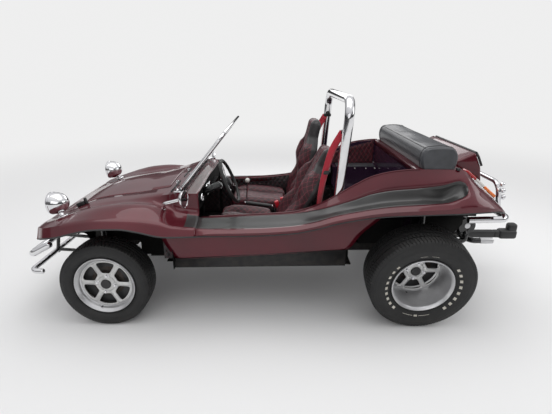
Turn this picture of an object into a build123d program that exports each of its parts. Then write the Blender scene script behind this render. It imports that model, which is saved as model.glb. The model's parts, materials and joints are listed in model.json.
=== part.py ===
from build123d import *
import math
import os

# Open two-seat buggy on a shortened platform chassis, in millimetres.
# X points forward, Y to the left (driver's side) and Z up from the ground.
# Stations are first laid out from mid-wheelbase, then shifted along X by ORIGIN_SHIFT
# so that the origin lies under the middle of the whole vehicle.

# Wheels and stance
WHEELBASE = 2108.0
AXLE_X = WHEELBASE / 2
RIM_LIP_R = 203.5
STUD_CIRCLE_R = 56.0
STUD_COUNT = 4
NUT_R = 11.0
SPOKE_COUNT = 6
FIT = 0.3                      # air left between curved faces that seat on each other
RUN_FIT = 0.05                 # radial air of a shaft in its bore
MOVE_GAP = 6.0                 # air kept round moving panels

FRONT_WHEEL = dict(tyre_r=304.5, tread_half=80.0, width=196.0, crown=4.0, rim_width=172.0,
                   lip_y=745.0, face_depth=55.0, camber=1.2, stub_r=15.0, drum_r=118.0)
REAR_WHEEL = dict(tyre_r=354.0, tread_half=107.0, width=256.0, crown=6.0, rim_width=232.0,
                  lip_y=814.0, face_depth=140.0, camber=9.3, stub_r=18.0, drum_r=122.0)

# Steering
KING_PIN_Y = 553.0
STEER_ARM_BACK = 104.0
STEER_ARM_IN = 33.0
TIE_ROD_R = 11.0
TIE_ARM_Z = 314.0
TIE_ARM_THICK = 14.0
STEERING_WHEEL_AT = (240.0, 300.0, 912.0)
STEERING_HUB_DROP = 40.0
STEERING_HUB_HALF = 23.0
STEERING_WHEEL_R = 176.0
STEERING_RIM_R = 13.0
COLUMN_RAKE = 22.0
COLUMN_R = 16.0
COLUMN_TUBE_R = 28.0
COLUMN_TUBE = 130.0

# Front suspension beam
BEAM_AHEAD = 160.0
BEAM_TUBE_R = 24.0
TOWER_Y = 372.0
BEAM_LOW_Z = 300.0
BEAM_HIGH_Z = 420.0
BEAM_HALF = 425.0
ARM_THICK = 26.0
TOWER_TOP_Z = 640.0
TOWER_WALL = 10.0
STEERING_BOX_Y = (262.0, 338.0)
STEERING_BOX_HEIGHT = 165.0
FRONT_DAMPER = dict(behind=56.0, body_r=24.0, rod_r=9.0, top_z=625.0, split_z=470.0, low_z=352.0)
REAR_DAMPER_Y = 470.0
REAR_DAMPER_SPLIT = 150.0

REAR_DAMPER_X = -1116.0
REAR_DAMPER_TOP = 800.0

# Platform
PAN_Z = 330.0
PAN_THICK = 8.0
PAN_HALF = 470.0
PAN_REAR_X = -640.0
PAN_WAIST_X = 600.0
PAN_FRONT_X = 860.0
PAN_FRONT_HALF = 330.0
TUNNEL_HALF = 70.0
TUNNEL_HEIGHT = 130.0
HEAD_HALF = 130.0
FORK_Y = 190.0
FORK_SIZE = 60.0
FORK_REAR_X = -1130.0
FORK_TOP = 64.0
AXLE_TUBE_R = 34.0

# Engine and exhaust
ENGINE_FRONT_X = -1164.0 - FIT
ENGINE_LENGTH = 250.0
HEAD_Y = 370.0
HEAD_HALF_Y = 30.0
CASE_HALF_Y = 110.0
SHROUD_TOP_Z = 800.0
FAN_AT = (125.0, 790.0)                 # behind the engine's front face, height
FAN_R = 125.0
SILENCER_HALF = 350.0
SILENCER_X = -1500.0
SILENCER_Z = 592.0
SILENCER_R = 56.0
PIPE_R = 19.0
TAIL_PIPE_R = 21.0
TAIL_PIPE_X = -1575.0
TAIL_PIPE_Y = 330.0
TAIL_PIPE_Z = 462.0
TAIL_PIPE_END = 95.0
TANK_X = (885.0, 1150.0)
TANK_Z = (520.0, 690.0)
TANK_HALF = 270.0

# Bodywork
WALL = 6.0
NOSE_LOW_Z = 598.0
FOOTWELL_TOP = 785.0
FOOTWELL_WALL = 5.0
TOE_BACK = 3.0
COWL_REAR_X = 425.0
COWL_Z = 902.0
LID_HALF = 330.0
LID_FRONT_X = 1440.0
LID_REAR_X = 668.0
HINGE_Y = 220.0
HINGE_PIN_R = 4.0
HINGE_EYE_R = 8.0
HINGE_EYE_LENGTH = 30.0
DECK_Z = 1062.0
DECK_FRONT_X = -1000.0
DECK_REAR_X = -1290.0
TAIL_LOW_X = -1560.0
TAIL_LOW_Z = 838.0
TAIL_FOOT_Z = 790.0
TAIL_FOOT_RUN = 14.0
TAIL_HALF = 609.0
ENGINE_LID_HALF = 400.0
BENCH_Z = 700.0
WHEEL_BOX_Y = 430.0
WHEEL_BOX_EDGE = 598.0
WHEEL_BOX_Z = 850.0
WHEEL_BOX_LOW_Z = 610.0
DAMPER_SHELF_Y = (430.0, 510.0)
POCKET_X = (-600.0, -440.0)
POCKET_Y = 608.0
DASH_X = (435.0, 475.0)
DASH_LOW_Z = 745.0
DIAL_Z = 822.0
DIALS = [(190.0, 45.0), (95.0, 34.0), (412.0, 30.0)]     # y, radius
DIAL_PROUD = 7.0

# Windscreen, hoop and bumpers
SCREEN_BASE_X = 548.0
SCREEN_TOP = (233.0, 1295.0)            # x, z
SCREEN_HALF = 555.0
SCREEN_BAR = 22.0
GLASS_THICK = 5.0
HOOP_LEG_X = -489.0
HOOP_TOP_X = -565.0
HOOP_Y = 555.0
HOOP_R = 31.5
HOOP_TOP_Z = 1495.0
HOOP_BEND = 110.0
HOOP_BAR_HALF = 430.0
HOOP_FOOT_Z = 600.0
FRONT_BAR = dict(high_x=1590.0, high_z=455.0, high_r=25.0, high_half=560.0,
                 low_x=1640.0, low_z=325.0, low_r=19.0, low_half=500.0)
BUMPER_STAY_Y = 200.0
REAR_BAR_R = 21.0
REAR_BAR_X = -1650.0
REAR_BAR_Z = 742.0
REAR_BAR_HALF = 600.0
GUARD_X = -1625.0
GUARD_Z = 940.0
GUARD_Y = 450.0
GUARD_R = 17.0
HITCH_Z = 380.0
HITCH_END_X = -2089.0
HITCH_BALL_R = 25.0
LAMP_AT = (1410.0, 500.0, 812.0)
LAMP_R = 79.0
LENS_R = LAMP_R - 8
LENS_THICK = 12.0
LENS_RISE = 8.0
WIPER_X = 612.0
WIPER_REACH = 200.0
TAIL_LAMP = (90.0, 280.0, 32.0)         # width, length down the slope, depth
TAIL_LAMP_ROUND = 18.0
TAIL_LAMP_Y = 545.0
MIRROR_X = 655.0
MIRROR_Y = 571.0
MIRROR_HEAD = (500.0, 665.0, 888.0)
MIRROR_R = 58.0
MIRROR_DEPTH = 24.0

ORIGIN_SHIFT = -(FRONT_BAR["low_x"] + FRONT_BAR["low_r"] + HITCH_END_X) / 2

# Levers and pedals
GEAR_X = 150.0
GEAR_KNOB = (135.0, 838.0)              # x, z
GAITER_R = 29.0
BRAKE_Y = 45.0
BRAKE_FOOT = (-130.0, 8.0)              # x, y
BRAKE_KNEE = (-75.0, 636.0)             # x, z
BRAKE_END = (158.0, 668.0)              # x, z
PEDAL_X = 730.0
PEDAL_Z = 530.0
PEDALS_Y = (130.0, 200.0, 270.0)

# Seats
SEAT_Y = 300.0
SEAT_WIDTH = 440.0
CUSHION_LENGTH = 470.0
CUSHION_THICK = 130.0
CUSHION_TOP_Z = 655.0
BACK_LENGTH = 560.0
BACK_THICK = 115.0
HEADREST_HEIGHT = 190.0
BELT_THICK = 3.0
BELT_DROP = 195.0
SEAT_ROUND = 35.0
SEATS = {"left": dict(side=1, pivot_x=-85.0, recline=27.0),
         "right": dict(side=-1, pivot_x=-195.0, recline=14.0)}

# Outer lines of the front bodywork, one row a station, from the centreline out to the lip.
# Columns: x, crown_z, hood_y, hood_z, valley_y, valley_z, crest_y, crest_z,
# crease_y, crease_z, lip_y, lip_z
FRONT_SECTIONS = [
    (1485, 672, 400, 668, 470, 664, 560, 664, 640, 652, 665, 600),
    (1400, 712, 405, 704, 475, 695, 580, 712, 720, 698, 752, 645),
    (1290, 762, 412, 750, 480, 740, 585, 757, 745, 735, 782, 672),
    (1190, 798, 420, 780, 485, 770, 585, 790, 748, 753, 786, 699),
    (1050, 832, 430, 803, 490, 790, 585, 820, 748, 768, 786, 724),
    (900, 858, 445, 825, 495, 812, 585, 833, 748, 768, 786, 727),
    (770, 882, 470, 846, 515, 818, 588, 825, 745, 760, 784, 706),
    (640, 898, 515, 874, 545, 802, 595, 785, 735, 741, 775, 672),
    (560, COWL_Z, 560, COWL_Z - 7, 570, 768, 605, 744, 725, 716, 760, 664),
    (425, COWL_Z, 552, COWL_Z - 10, 560, 742, 605, 724, 712, 700, 740, 660),
]

# Outer lines of the sills and rear wings, one row a station, from the cockpit's edge out to
# the lip. The scoop is the hollow between its top and its bottom line.
# Columns: x, edge_y, edge_z, scoop_top_y, scoop_top_z, scoop_low_y, scoop_low_z,
# scoop_depth, lip_y, lip_z
SIDE_SECTIONS = [
    (425, 540, 722, 560, 720, 700, 698, 0, 740, 660),
    (60, 532, 738, 552, 736, 700, 703, 0, 738, 664),
    (-200, 545, 760, 566, 756, 706, 722, 2, 745, 684),
    (-340, 568, 806, 600, 790, 728, 757, 8, 765, 718),
]
REAR_SECTIONS = [
    (-340, 568, 806, 600, 790, 728, 757, 8, 765, 718),
    (-465, 603, 880, 652, 838, 755, 806, 18, 792, 765),
    (-600, 606, 962, 660, 882, 762, 838, 28, 800, 796),
    (-720, 606, 1024, 664, 926, 764, 860, 34, 802, 814),
    (-850, 606, 1056, 666, 950, 765, 876, 38, 802, 824),
    (-1000, 606, 1070, 668, 963, 765, 886, 42, 802, 830),
    (-1150, 606, 1070, 670, 984, 765, 898, 44, 802, 836),
    (-1290, 604, 1066, 668, 1020, 758, 935, 6, 798, 841),
    (-1410, 602, 964, 664, 948, 745, 900, 0, 786, 844),
    (-1510, 598, 880, 652, 872, 722, 856, 0, 760, 838),
    (-1575, 590, 826, 628, 822, 682, 816, 0, 712, 806),
]

# Side panels under the lips, one row a corner of the outline.
# Columns: x, z
SIDE_PANEL = [
    (662, 640), (628, 538), (595, 452), (64, 488), (-573, 524), (-605, 556),
    (-654, 630), (-740, 712), (-800, 760), (-600, 760), (-340, 700), (60, 650), (425, 650),
]
SIDE_PANEL_Y = 655.0
INNER_Y = 526.0
WALL_BEND = 64.0
LEDGE_Z = 636.0
STRIP_Z = 378.0
ROCKER_BOTTOM = [(600, 372), (-573, 392)]
ROCKER_Y = 622.0

# Tail and engine cover, side outlines. Columns: x, z
ENGINE_LID_LINE = [(TAIL_LOW_X + 242, DECK_Z + 12), (TAIL_LOW_X + 98, DECK_Z + 80),
                   (TAIL_LOW_X + 48, DECK_Z - 27), (TAIL_LOW_X + 28, TAIL_LOW_Z + 67)]


def moved(shape):
    """Shifts a finished shape from the mid-wheelbase layout to the part's own origin."""
    return Pos(ORIGIN_SHIFT, 0, 0) * shape


def save(name, shape):
    solids = moved(shape).solids()
    whole = solids[0] if len(solids) == 1 else Compound(children=list(solids))
    export_step(whole, f"parts/{name}.step")


def mirrored(shape):
    return mirror(shape, about=Plane.XZ)


def both(shape):
    """A piece on the left and its mirror image on the right."""
    return Compound(children=[*shape.solids(), *mirrored(shape).solids()])


def box(x, y, z):
    """Box from (low, high) pairs along each axis."""
    centre = [(low + high) / 2 for low, high in (x, y, z)]
    size = [high - low for low, high in (x, y, z)]
    return Pos(*centre) * Box(*size)


def rod(start, end, radius):
    """Round bar from one point to another."""
    a, b = Vector(*start), Vector(*end)
    plane = Plane(origin=(a + b) / 2, z_dir=b - a)
    return plane * Cylinder(radius, (b - a).length)


def tube_path(points, radii):
    return FilletPolyline(*points, radius=radii)


def bent_bar(points, radii, radius):
    """Round bar along straight runs with rounded corners."""
    path = tube_path(points, radii)
    start = path ^ 0
    return sweep(Plane(origin=start.position, z_dir=path % 0) * Circle(radius), path=path)


def xz_plate(outline, y_low, y_high, corner=0.0):
    """Plate cut to an outline in X and Z, between two values of Y."""
    face = make_face(Polyline(*[(x, 0, z) for x, z in outline], close=True))
    plate = extrude(Pos(0, y_high, 0) * face, amount=y_high - y_low, dir=(0, -1, 0))
    if corner:
        plate = fillet(plate.edges().filter_by(Axis.Y), corner)
    return plate


def offset_line(points, wall):
    """The inner line of a panel in Y and Z, a wall inside its outer line."""
    normals = []
    for (y0, z0), (y1, z1) in zip(points, points[1:]):
        length = math.hypot(y1 - y0, z1 - z0)
        normals.append(((z1 - z0) / length, -(y1 - y0) / length))
    inner = []
    for i, (y, z) in enumerate(points):
        a = normals[max(i - 1, 0)]
        b = normals[min(i, len(normals) - 1)]
        reach = wall / (1 + a[0] * b[0] + a[1] * b[1])
        inner.append((y + (a[0] + b[0]) * reach, z + (a[1] + b[1]) * reach))
    return inner


def shell(stations, wall):
    """Thin panel lofted straight from one station's line to the next."""
    wires = []
    for x, line in stations:
        inner = offset_line(line, wall)
        corners = [Vector(x, y, z) for y, z in line + inner[::-1]]
        wires.append(Wire.make_polygon(corners, close=True))
    return Solid.make_loft(wires, ruled=True)


def full_width(half):
    """Line from the right lip over the centreline to the left lip."""
    return [(-y, z) for y, z in half[:0:-1]] + half


def front_line(row):
    x, crown, *rest = row
    pairs = list(zip(rest[0::2], rest[1::2]))
    return x, full_width([(0, crown)] + pairs)


def side_line(row):
    x, ey, ez, ty, tz, ly, lz, depth, py, pz = row
    hollow_y = (ty + ly) / 2 - depth * 0.7
    hollow_z = (tz + lz) / 2 - depth * 0.7
    crease = (py, (pz + lz) / 2)
    # The line runs from the outside in reverse so that its inner side faces the wheel
    return x, [(ey, ez), (ty, tz), (hollow_y, hollow_z), (ly, lz), crease, (py - 6, pz)]


def hinge_fixed(x, y, z, leaf):
    """Pin with its two end knuckles and the leaf that holds them."""
    pin = rod((x, y - 32, z), (x, y + 32, z), HINGE_PIN_R)
    half = HINGE_EYE_LENGTH / 2 + 1
    for side in (-1, 1):
        pin += rod((x, y + side * half, z), (x, y + side * (half + 14), z), HINGE_EYE_R)
        pin += box(sorted((x, x + leaf[0])), sorted((y + side * half, y + side * (half + 14))),
                   sorted((z - 4, z + leaf[1])))
    return pin


def hinge_eye(x, y, z, leaf):
    half = HINGE_EYE_LENGTH / 2
    eye = rod((x, y - half, z), (x, y + half, z), HINGE_EYE_R)
    eye += box(sorted((x, x + leaf[0])), (y - half, y + half), sorted((z - 4, z + leaf[1])))
    return eye - rod((x, y - half - 1, z), (x, y + half + 1, z), HINGE_PIN_R + RUN_FIT)


# Wheels

def wheel_centre(spec):
    """Middle of the wheel on its axis. The tyre's inner shoulder just meets the ground."""
    lean = math.radians(spec["camber"])
    inboard = spec["rim_width"] / 2
    low = (spec["tyre_r"] - spec["crown"]) * math.cos(lean) + spec["tread_half"] * math.sin(lean)
    return spec["lip_y"] - inboard * math.cos(lean), low


def set_wheel(shape, spec, axle_x):
    """Moves a wheel piece from its own axis (along Y, outer side +Y) onto the left hub."""
    y, z = wheel_centre(spec)
    return Pos(axle_x, y, z) * Rot(-spec["camber"], 0, 0) * shape


def spun(outline):
    """Solid turned about Y from an outline of (radius, y) corners."""
    face = make_face(Polyline(*[(r, y, 0) for r, y in outline], close=True))
    return revolve(face, axis=Axis.Y)


def tyre(spec):
    half = spec["width"] / 2
    rim = spec["rim_width"] / 2
    r = spec["tyre_r"]
    shoulder = r - spec["crown"]
    bead = RIM_LIP_R - 10
    bulge = bead + (r - bead) * 0.45
    tread = spec["tread_half"]
    line = Polyline((bead, -rim + 12, 0), (bead, rim - 12, 0))
    line += Line((bead, rim - 12, 0), (RIM_LIP_R + 6, rim - 12, 0))
    line += ThreePointArc((RIM_LIP_R + 6, rim - 12, 0), (bulge, half, 0), (shoulder, tread, 0))
    line += ThreePointArc((shoulder, tread, 0), (r, 0, 0), (shoulder, -tread, 0))
    line += ThreePointArc((shoulder, -tread, 0), (bulge, -half, 0), (RIM_LIP_R + 6, -rim + 12, 0))
    line += Line((RIM_LIP_R + 6, -rim + 12, 0), (bead, -rim + 12, 0))
    body = revolve(make_face(line), axis=Axis.Y)
    for place in (-0.55, -0.18, 0.18, 0.55):
        y = place * tread
        body -= spun([(r - 8, y - 4), (r - 8, y + 4), (r + 2, y + 4), (r + 2, y - 4)])
    return body


def rim(spec):
    """Cast wheel: barrel with flanges, spoked face, hub with bore, brake drum and cap."""
    half = spec["rim_width"] / 2
    lip = RIM_LIP_R
    seat = RIM_LIP_R - 10 - FIT
    well = RIM_LIP_R - 34
    barrel = spun([
        (lip, half), (lip, half - 8), (seat, half - 12), (seat, half - 42), (well, half - 58),
        (well, -half + 48), (seat, -half + 34), (seat, -half + 12), (lip, -half + 8),
        (lip, -half), (lip - 8, -half), (seat - 8, -half + 10), (seat - 8, -half + 30),
        (well - 8, -half + 46), (well - 8, half - 62), (lip - 9, half - 8), (lip - 6, half)])
    face_y = half - spec["face_depth"]
    disc_r = well - 4
    disc = spun([(0, face_y), (78, face_y), (96, face_y - 10), (disc_r, face_y - 2),
                 (disc_r, face_y - 26), (96, face_y - 34), (0, face_y - 34)])
    for i in range(SPOKE_COUNT):
        turn = 360 / SPOKE_COUNT * (i + 0.5)
        window = make_face(Polyline((88, -12), (146, -58), (152, -40), (155, 0), (152, 40),
                                    (146, 58), (88, 12), close=True))
        window = extrude(Plane.XZ * window, amount=80, both=True)
        disc -= Pos(0, face_y - 20, 0) * Rot(0, turn, 0) * window
    drum_top = face_y - 34
    drum = spun([(0, drum_top), (spec["drum_r"] - 12, drum_top), (spec["drum_r"], drum_top - 12),
                 (spec["drum_r"], drum_top - 52), (spec["drum_r"] - 7, drum_top - 52),
                 (spec["drum_r"] - 7, drum_top - 14), (0, drum_top - 14)])
    hub = Pos(0, drum_top - 30, 0) * Rot(90, 0, 0) * Cylinder(34, 62)
    cap = spun([(0, face_y + 26), (24, face_y + 24), (34, face_y + 14), (35, face_y), (0, face_y)])
    whole = barrel + disc + drum + hub + cap
    bore = Pos(0, drum_top - 40, 0) * Rot(90, 0, 0) * Cylinder(spec["stub_r"] + RUN_FIT, 100)
    for i in range(STUD_COUNT):
        a = math.radians(360 / STUD_COUNT * (i + 0.5))
        nut = Rot(90, 0, 0) * extrude(RegularPolygon(NUT_R, 6), amount=NUT_R + 1)
        place = Pos(STUD_CIRCLE_R * math.cos(a), face_y + NUT_R + 1, STUD_CIRCLE_R * math.sin(a))
        whole += place * nut
    return whole - bore


def stub_reach(spec):
    """Y of the stub axle's end and of the hub's inner face, on the wheel's own axis."""
    face_y = spec["rim_width"] / 2 - spec["face_depth"]
    return face_y - 34 - 40 + 45, face_y - 34 - 62


def wheels():
    for name, spec, x in (("front", FRONT_WHEEL, AXLE_X), ("rear", REAR_WHEEL, -AXLE_X)):
        rubber = set_wheel(tyre(spec), spec, x)
        metal = set_wheel(rim(spec), spec, x)
        save(f"tyre_{name}_left", rubber)
        save(f"tyre_{name}_right", mirrored(rubber))
        save(f"wheel_{name}_left", metal)
        save(f"wheel_{name}_right", mirrored(metal))


# Steering and front suspension

def knuckle():
    """Stub axle carrier that turns on the king pin between the two trailing arms."""
    spec = FRONT_WHEEL
    y, z = wheel_centre(spec)
    end, inner = stub_reach(spec)
    stub = rod((0, KING_PIN_Y - y - 4, 0), (0, end, 0), spec["stub_r"])
    plate_y = inner - 12
    stub += rod((0, plate_y - 4, 0), (0, plate_y + 1, 0), spec["drum_r"] - 4)
    stub = set_wheel(stub, spec, AXLE_X)
    low, high = arm_end_z()
    post = rod((AXLE_X, KING_PIN_Y, low + ARM_THICK / 2 + FIT),
               (AXLE_X, KING_PIN_Y, high - ARM_THICK / 2 - FIT), 20)
    arm = extrude(make_face(Polyline(
        (AXLE_X + 14, KING_PIN_Y + 14), (AXLE_X - STEER_ARM_BACK, KING_PIN_Y - STEER_ARM_IN + 15),
        (AXLE_X - STEER_ARM_BACK - 14, KING_PIN_Y - STEER_ARM_IN),
        (AXLE_X - STEER_ARM_BACK, KING_PIN_Y - STEER_ARM_IN - 15), (AXLE_X + 4, KING_PIN_Y - 18),
        close=True)), amount=TIE_ARM_THICK)
    return stub + post + Pos(0, 0, TIE_ARM_Z) * arm


def arm_end_z():
    return BEAM_LOW_Z - 62, BEAM_HIGH_Z - 42


def front_arms():
    """Two trailing arms a side, with the king pin that holds the knuckle."""
    whole = None
    low, high = arm_end_z()
    for tube_z, end_z in ((BEAM_LOW_Z, low), (BEAM_HIGH_Z, high)):
        start = (AXLE_X + BEAM_AHEAD, BEAM_HALF + 18 + FIT, tube_z)
        knee = (AXLE_X + 34, KING_PIN_Y - 52, end_z)
        end = (AXLE_X, KING_PIN_Y, end_z)
        arm = Pos(*start) * Rot(90, 0, 0) * Cylinder(22, 36)
        arm += rod(start, knee, 12.5)
        arm += Pos(*knee) * Sphere(12.9)
        arm += rod(knee, end, 12.2)
        arm += Pos(*end) * Cylinder(21, ARM_THICK)
        whole = arm if whole is None else whole + arm
    return both(whole)


def tie_rod():
    x = AXLE_X - STEER_ARM_BACK
    y = KING_PIN_Y - STEER_ARM_IN
    z = TIE_ARM_Z - FIT - TIE_ARM_THICK
    whole = rod((x, -y, z), (x, y, z), TIE_ROD_R)
    for side in (-1, 1):
        whole += rod((x, side * y, TIE_ARM_Z - FIT), (x, side * y, z - TIE_ROD_R - 3), 15)
    return whole


def beam():
    x = AXLE_X + BEAM_AHEAD
    whole = None
    for z in (BEAM_LOW_Z, BEAM_HIGH_Z):
        pipe = rod((x, -BEAM_HALF, z), (x, BEAM_HALF, z), BEAM_TUBE_R)
        whole = pipe if whole is None else whole + pipe
    for side in (-1, 1):
        tower = xz_plate([(x - 34, BEAM_LOW_Z - 34), (x + 30, BEAM_LOW_Z - 34),
                          (x + 30, BEAM_HIGH_Z + 40), (x + 10, TOWER_TOP_Z),
                          (x - 70, TOWER_TOP_Z), (x - 70, TOWER_TOP_Z - 44),
                          (x - 34, TOWER_TOP_Z - 80)],
                         TOWER_Y - TOWER_WALL / 2, TOWER_Y + TOWER_WALL / 2)
        whole += tower if side > 0 else mirrored(tower)
        strap = box((x - 40, x + 34), (70, 100), (BEAM_LOW_Z - 20, BEAM_HIGH_Z + 24))
        whole += strap if side > 0 else mirrored(strap)
    # Steering box on the upper tube
    whole += box((x - 30, x + 40), STEERING_BOX_Y, (BEAM_HIGH_Z, BEAM_HIGH_Z + STEERING_BOX_HEIGHT))
    return whole


def dampers():
    """Telescopic dampers: front ones on the beam's towers, rear ones on the axle tubes."""
    spec = FRONT_DAMPER
    x = AXLE_X + BEAM_AHEAD - spec["behind"]
    tower_face = TOWER_Y + TOWER_WALL / 2 + FIT
    y = tower_face + spec["body_r"] + 2
    top, split, low = spec["top_z"], spec["split_z"], spec["low_z"]
    front = rod((x, y, top), (x, y, split), spec["body_r"])
    front += rod((x, y, split + 1), (x, y, low), spec["rod_r"])
    front += rod((x, tower_face, top - 13), (x, y, top - 13), 8)
    front += rod((x, y, low + 4), (x, y + 42, low - 54), 8)
    y, z = wheel_centre(REAR_WHEEL)
    slope = math.tan(math.radians(REAR_WHEEL["camber"]))
    my, rx = REAR_DAMPER_Y, REAR_DAMPER_X
    tube_z = z + (y - my) * slope
    split = tube_z + REAR_DAMPER_SPLIT
    rear = rod((rx, my, tube_z), (rx, my, split), 20)
    rear += rod((rx, my, split), (rx, my, REAR_DAMPER_TOP - FIT), 27)
    rear += rod((rx, my, tube_z), (-AXLE_X - AXLE_TUBE_R - FIT, my, tube_z), 12)
    return both(front + rear)


def steering_parts():
    """Column on the chassis and the wheel that turns on its end."""
    cx, cy, cz = STEERING_WHEEL_AT
    rake = math.radians(COLUMN_RAKE)
    to_driver = Vector(-math.cos(rake), 0, math.sin(rake))
    plane = Plane(origin=(cx, cy, cz), x_dir=(0, 1, 0), z_dir=to_driver)
    wheel = plane * Torus(STEERING_WHEEL_R, STEERING_RIM_R)
    wheel += plane * Pos(0, 0, -STEERING_HUB_DROP) * Cylinder(38, 2 * STEERING_HUB_HALF)
    for turn in (90, 210, 330):
        spoke = Rot(0, 0, turn) * rod((20, 0, -STEERING_HUB_DROP), (STEERING_WHEEL_R, 0, 0), 10)
        wheel += plane * spoke
    top = Vector(cx, cy, cz) - to_driver * (STEERING_HUB_DROP + STEERING_HUB_HALF + FIT)
    column = steering_shaft(COLUMN_R)
    column += rod(tuple(top - to_driver * 12), tuple(top - to_driver * COLUMN_TUBE), COLUMN_TUBE_R)
    return wheel, column


def steering_shaft(radius):
    """Straight shaft from behind the steering wheel's hub to the steering box."""
    cx, cy, cz = STEERING_WHEEL_AT
    rake = math.radians(COLUMN_RAKE)
    to_driver = Vector(-math.cos(rake), 0, math.sin(rake))
    centre = Vector(cx, cy, cz)
    box_x = AXLE_X + BEAM_AHEAD - 30 - FIT
    reach = (box_x - COLUMN_R * math.sin(rake) - cx) / math.cos(rake)
    start = STEERING_HUB_DROP + STEERING_HUB_HALF + FIT
    return rod(tuple(centre - to_driver * start), tuple(centre - to_driver * reach), radius)


# Platform, engine and drive

def floor_pan():
    """Flat floor with its tunnel, frame head and rear fork."""
    half = extrude(make_face(Polyline(
        (PAN_REAR_X, 0), (PAN_REAR_X, PAN_HALF), (PAN_WAIST_X, PAN_HALF),
        (PAN_WAIST_X + 110, PAN_FRONT_HALF), (PAN_FRONT_X, PAN_FRONT_HALF), (PAN_FRONT_X, 0),
        close=True)), amount=PAN_THICK)
    plate = Pos(0, 0, PAN_Z) * (half + mirrored(half))
    for x in range(-540, 500, 130):
        rib = box((x, x + 40), (180, 420), (PAN_Z + PAN_THICK - 1, PAN_Z + PAN_THICK + 7))
        plate += rib + mirrored(rib)
    head_x = AXLE_X + BEAM_AHEAD - 40
    tunnel = box((PAN_REAR_X, head_x - 40), (-TUNNEL_HALF, TUNNEL_HALF),
                 (PAN_Z, PAN_Z + TUNNEL_HEIGHT))
    tunnel = fillet(tunnel.edges().filter_by(Axis.X).group_by(Axis.Z)[-1], 40)
    head = box((head_x - 150, head_x), (-HEAD_HALF, HEAD_HALF), (PAN_Z + 6, PAN_Z + 126))
    whole = plate + tunnel + head
    half_fork = FORK_SIZE / 2
    fork = xz_plate([(PAN_REAR_X + 60, PAN_Z), (FORK_REAR_X, PAN_Z + 4),
                     (FORK_REAR_X, PAN_Z + FORK_TOP), (PAN_REAR_X + 60, PAN_Z + FORK_TOP)],
                    FORK_Y - half_fork, FORK_Y + half_fork)
    cross = box((PAN_REAR_X - 40, PAN_REAR_X + 50), (-FORK_Y, FORK_Y), (PAN_Z, PAN_Z + 50))
    return whole + fork + mirrored(fork) + cross


def transaxle():
    """Gearbox with its two swing axle tubes and their stub ends."""
    spec = REAR_WHEEL
    y, z = wheel_centre(spec)
    slope = math.tan(math.radians(spec["camber"]))
    mid_z = z + y * slope
    case = rod((PAN_REAR_X - 60, 0, mid_z - 10), (-AXLE_X + 60, 0, mid_z - 10), 78)
    case += Pos(-AXLE_X, 0, mid_z) * Sphere(104)
    bell = Plane(origin=(-AXLE_X - 60, 0, mid_z), z_dir=(-1, 0, 0)) * Cylinder(150, 100)
    case += bell
    end, inner = stub_reach(spec)
    side = rod((0, inner - 10, 0), (0, end, 0), spec["stub_r"])
    side += rod((0, inner - 10, 0), (0, 60 - y, 0), AXLE_TUBE_R)
    side += rod((0, inner - 14, 0), (0, inner - 9, 0), spec["drum_r"] - 4)
    side = set_wheel(side, spec, -AXLE_X)
    return case + side + mirrored(side)


def drive_z():
    """Height of the crankshaft and of the differential."""
    y, z = wheel_centre(REAR_WHEEL)
    return z + y * math.tan(math.radians(REAR_WHEEL["camber"]))


def engine():
    """Flat four-cylinder engine as a plain block with its fan housing."""
    mid_z = drive_z()
    front = ENGINE_FRONT_X
    back = front - ENGINE_LENGTH
    case = box((back, front), (-CASE_HALF_Y, CASE_HALF_Y), (mid_z - 120, mid_z + 100))
    head_in, head_out = HEAD_Y - HEAD_HALF_Y, HEAD_Y + HEAD_HALF_Y
    for side in (-1, 1):
        case += box((back + 10, front - 40), sorted((side * (CASE_HALF_Y - 10), side * head_in)),
                    (mid_z - 55, mid_z + 55))
        case += box((back, front - 30), sorted((side * head_in, side * head_out)),
                    (mid_z - 70, mid_z + 70))
    behind, fan_z = FAN_AT
    shroud = box((front - behind - 65, front - behind + 65), (-300, 300), (mid_z + 60, SHROUD_TOP_Z))
    fan = Plane(origin=(front - behind, 0, fan_z), z_dir=(1, 0, 0)) * Cylinder(FAN_R, 130)
    pulley = rod((back + 1, 0, mid_z), (back - 24, 0, mid_z), 80)
    return case + shroud + fan + pulley


def exhaust():
    """Cross silencer behind the engine with its two pipes to the cylinder heads."""
    x, z = SILENCER_X, SILENCER_Z
    end = SILENCER_HALF
    can = rod((x, -end, z), (x, end, z), SILENCER_R)
    head_face = ENGINE_FRONT_X - ENGINE_LENGTH - FIT
    for side in (-1, 1):
        can += rod((x, side * end, z), (x, side * (end + 12), z), SILENCER_R + 4)
        y = side * HEAD_Y
        can += bent_bar([(x + 8, side * (end - 50), z - 20), (x + 8, y, z - 66),
                         (x + 8, y, drive_z()), (head_face, y, drive_z())], [26, 30], PIPE_R)
    tail = bent_bar([(x, end - 100, z - 20), (x, end - 100, TAIL_PIPE_Z),
                     (TAIL_PIPE_X, TAIL_PIPE_Y, TAIL_PIPE_Z),
                     (TAIL_PIPE_X - 50, TAIL_PIPE_Y, TAIL_PIPE_Z)], [50, 40], TAIL_PIPE_R)
    tail += rod((TAIL_PIPE_X - 49, TAIL_PIPE_Y, TAIL_PIPE_Z),
                (TAIL_PIPE_X - 50 - TAIL_PIPE_END, TAIL_PIPE_Y, TAIL_PIPE_Z), TAIL_PIPE_R)
    return can + tail


def fuel_tank():
    """Tank with the flange that holds it to the toe board."""
    half = TANK_HALF
    tank = box(TANK_X, (-half, half), TANK_Z)
    tank = fillet(tank.edges().filter_by(Axis.Y), 30)
    seam = sum(TANK_Z) / 2
    return tank + box((PAN_FRONT_X - TOE_BACK + FIT, TANK_X[1] + 15), (-half - 6, half + 6),
                      (seam - 3, seam + 3))


# Bodywork

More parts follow.
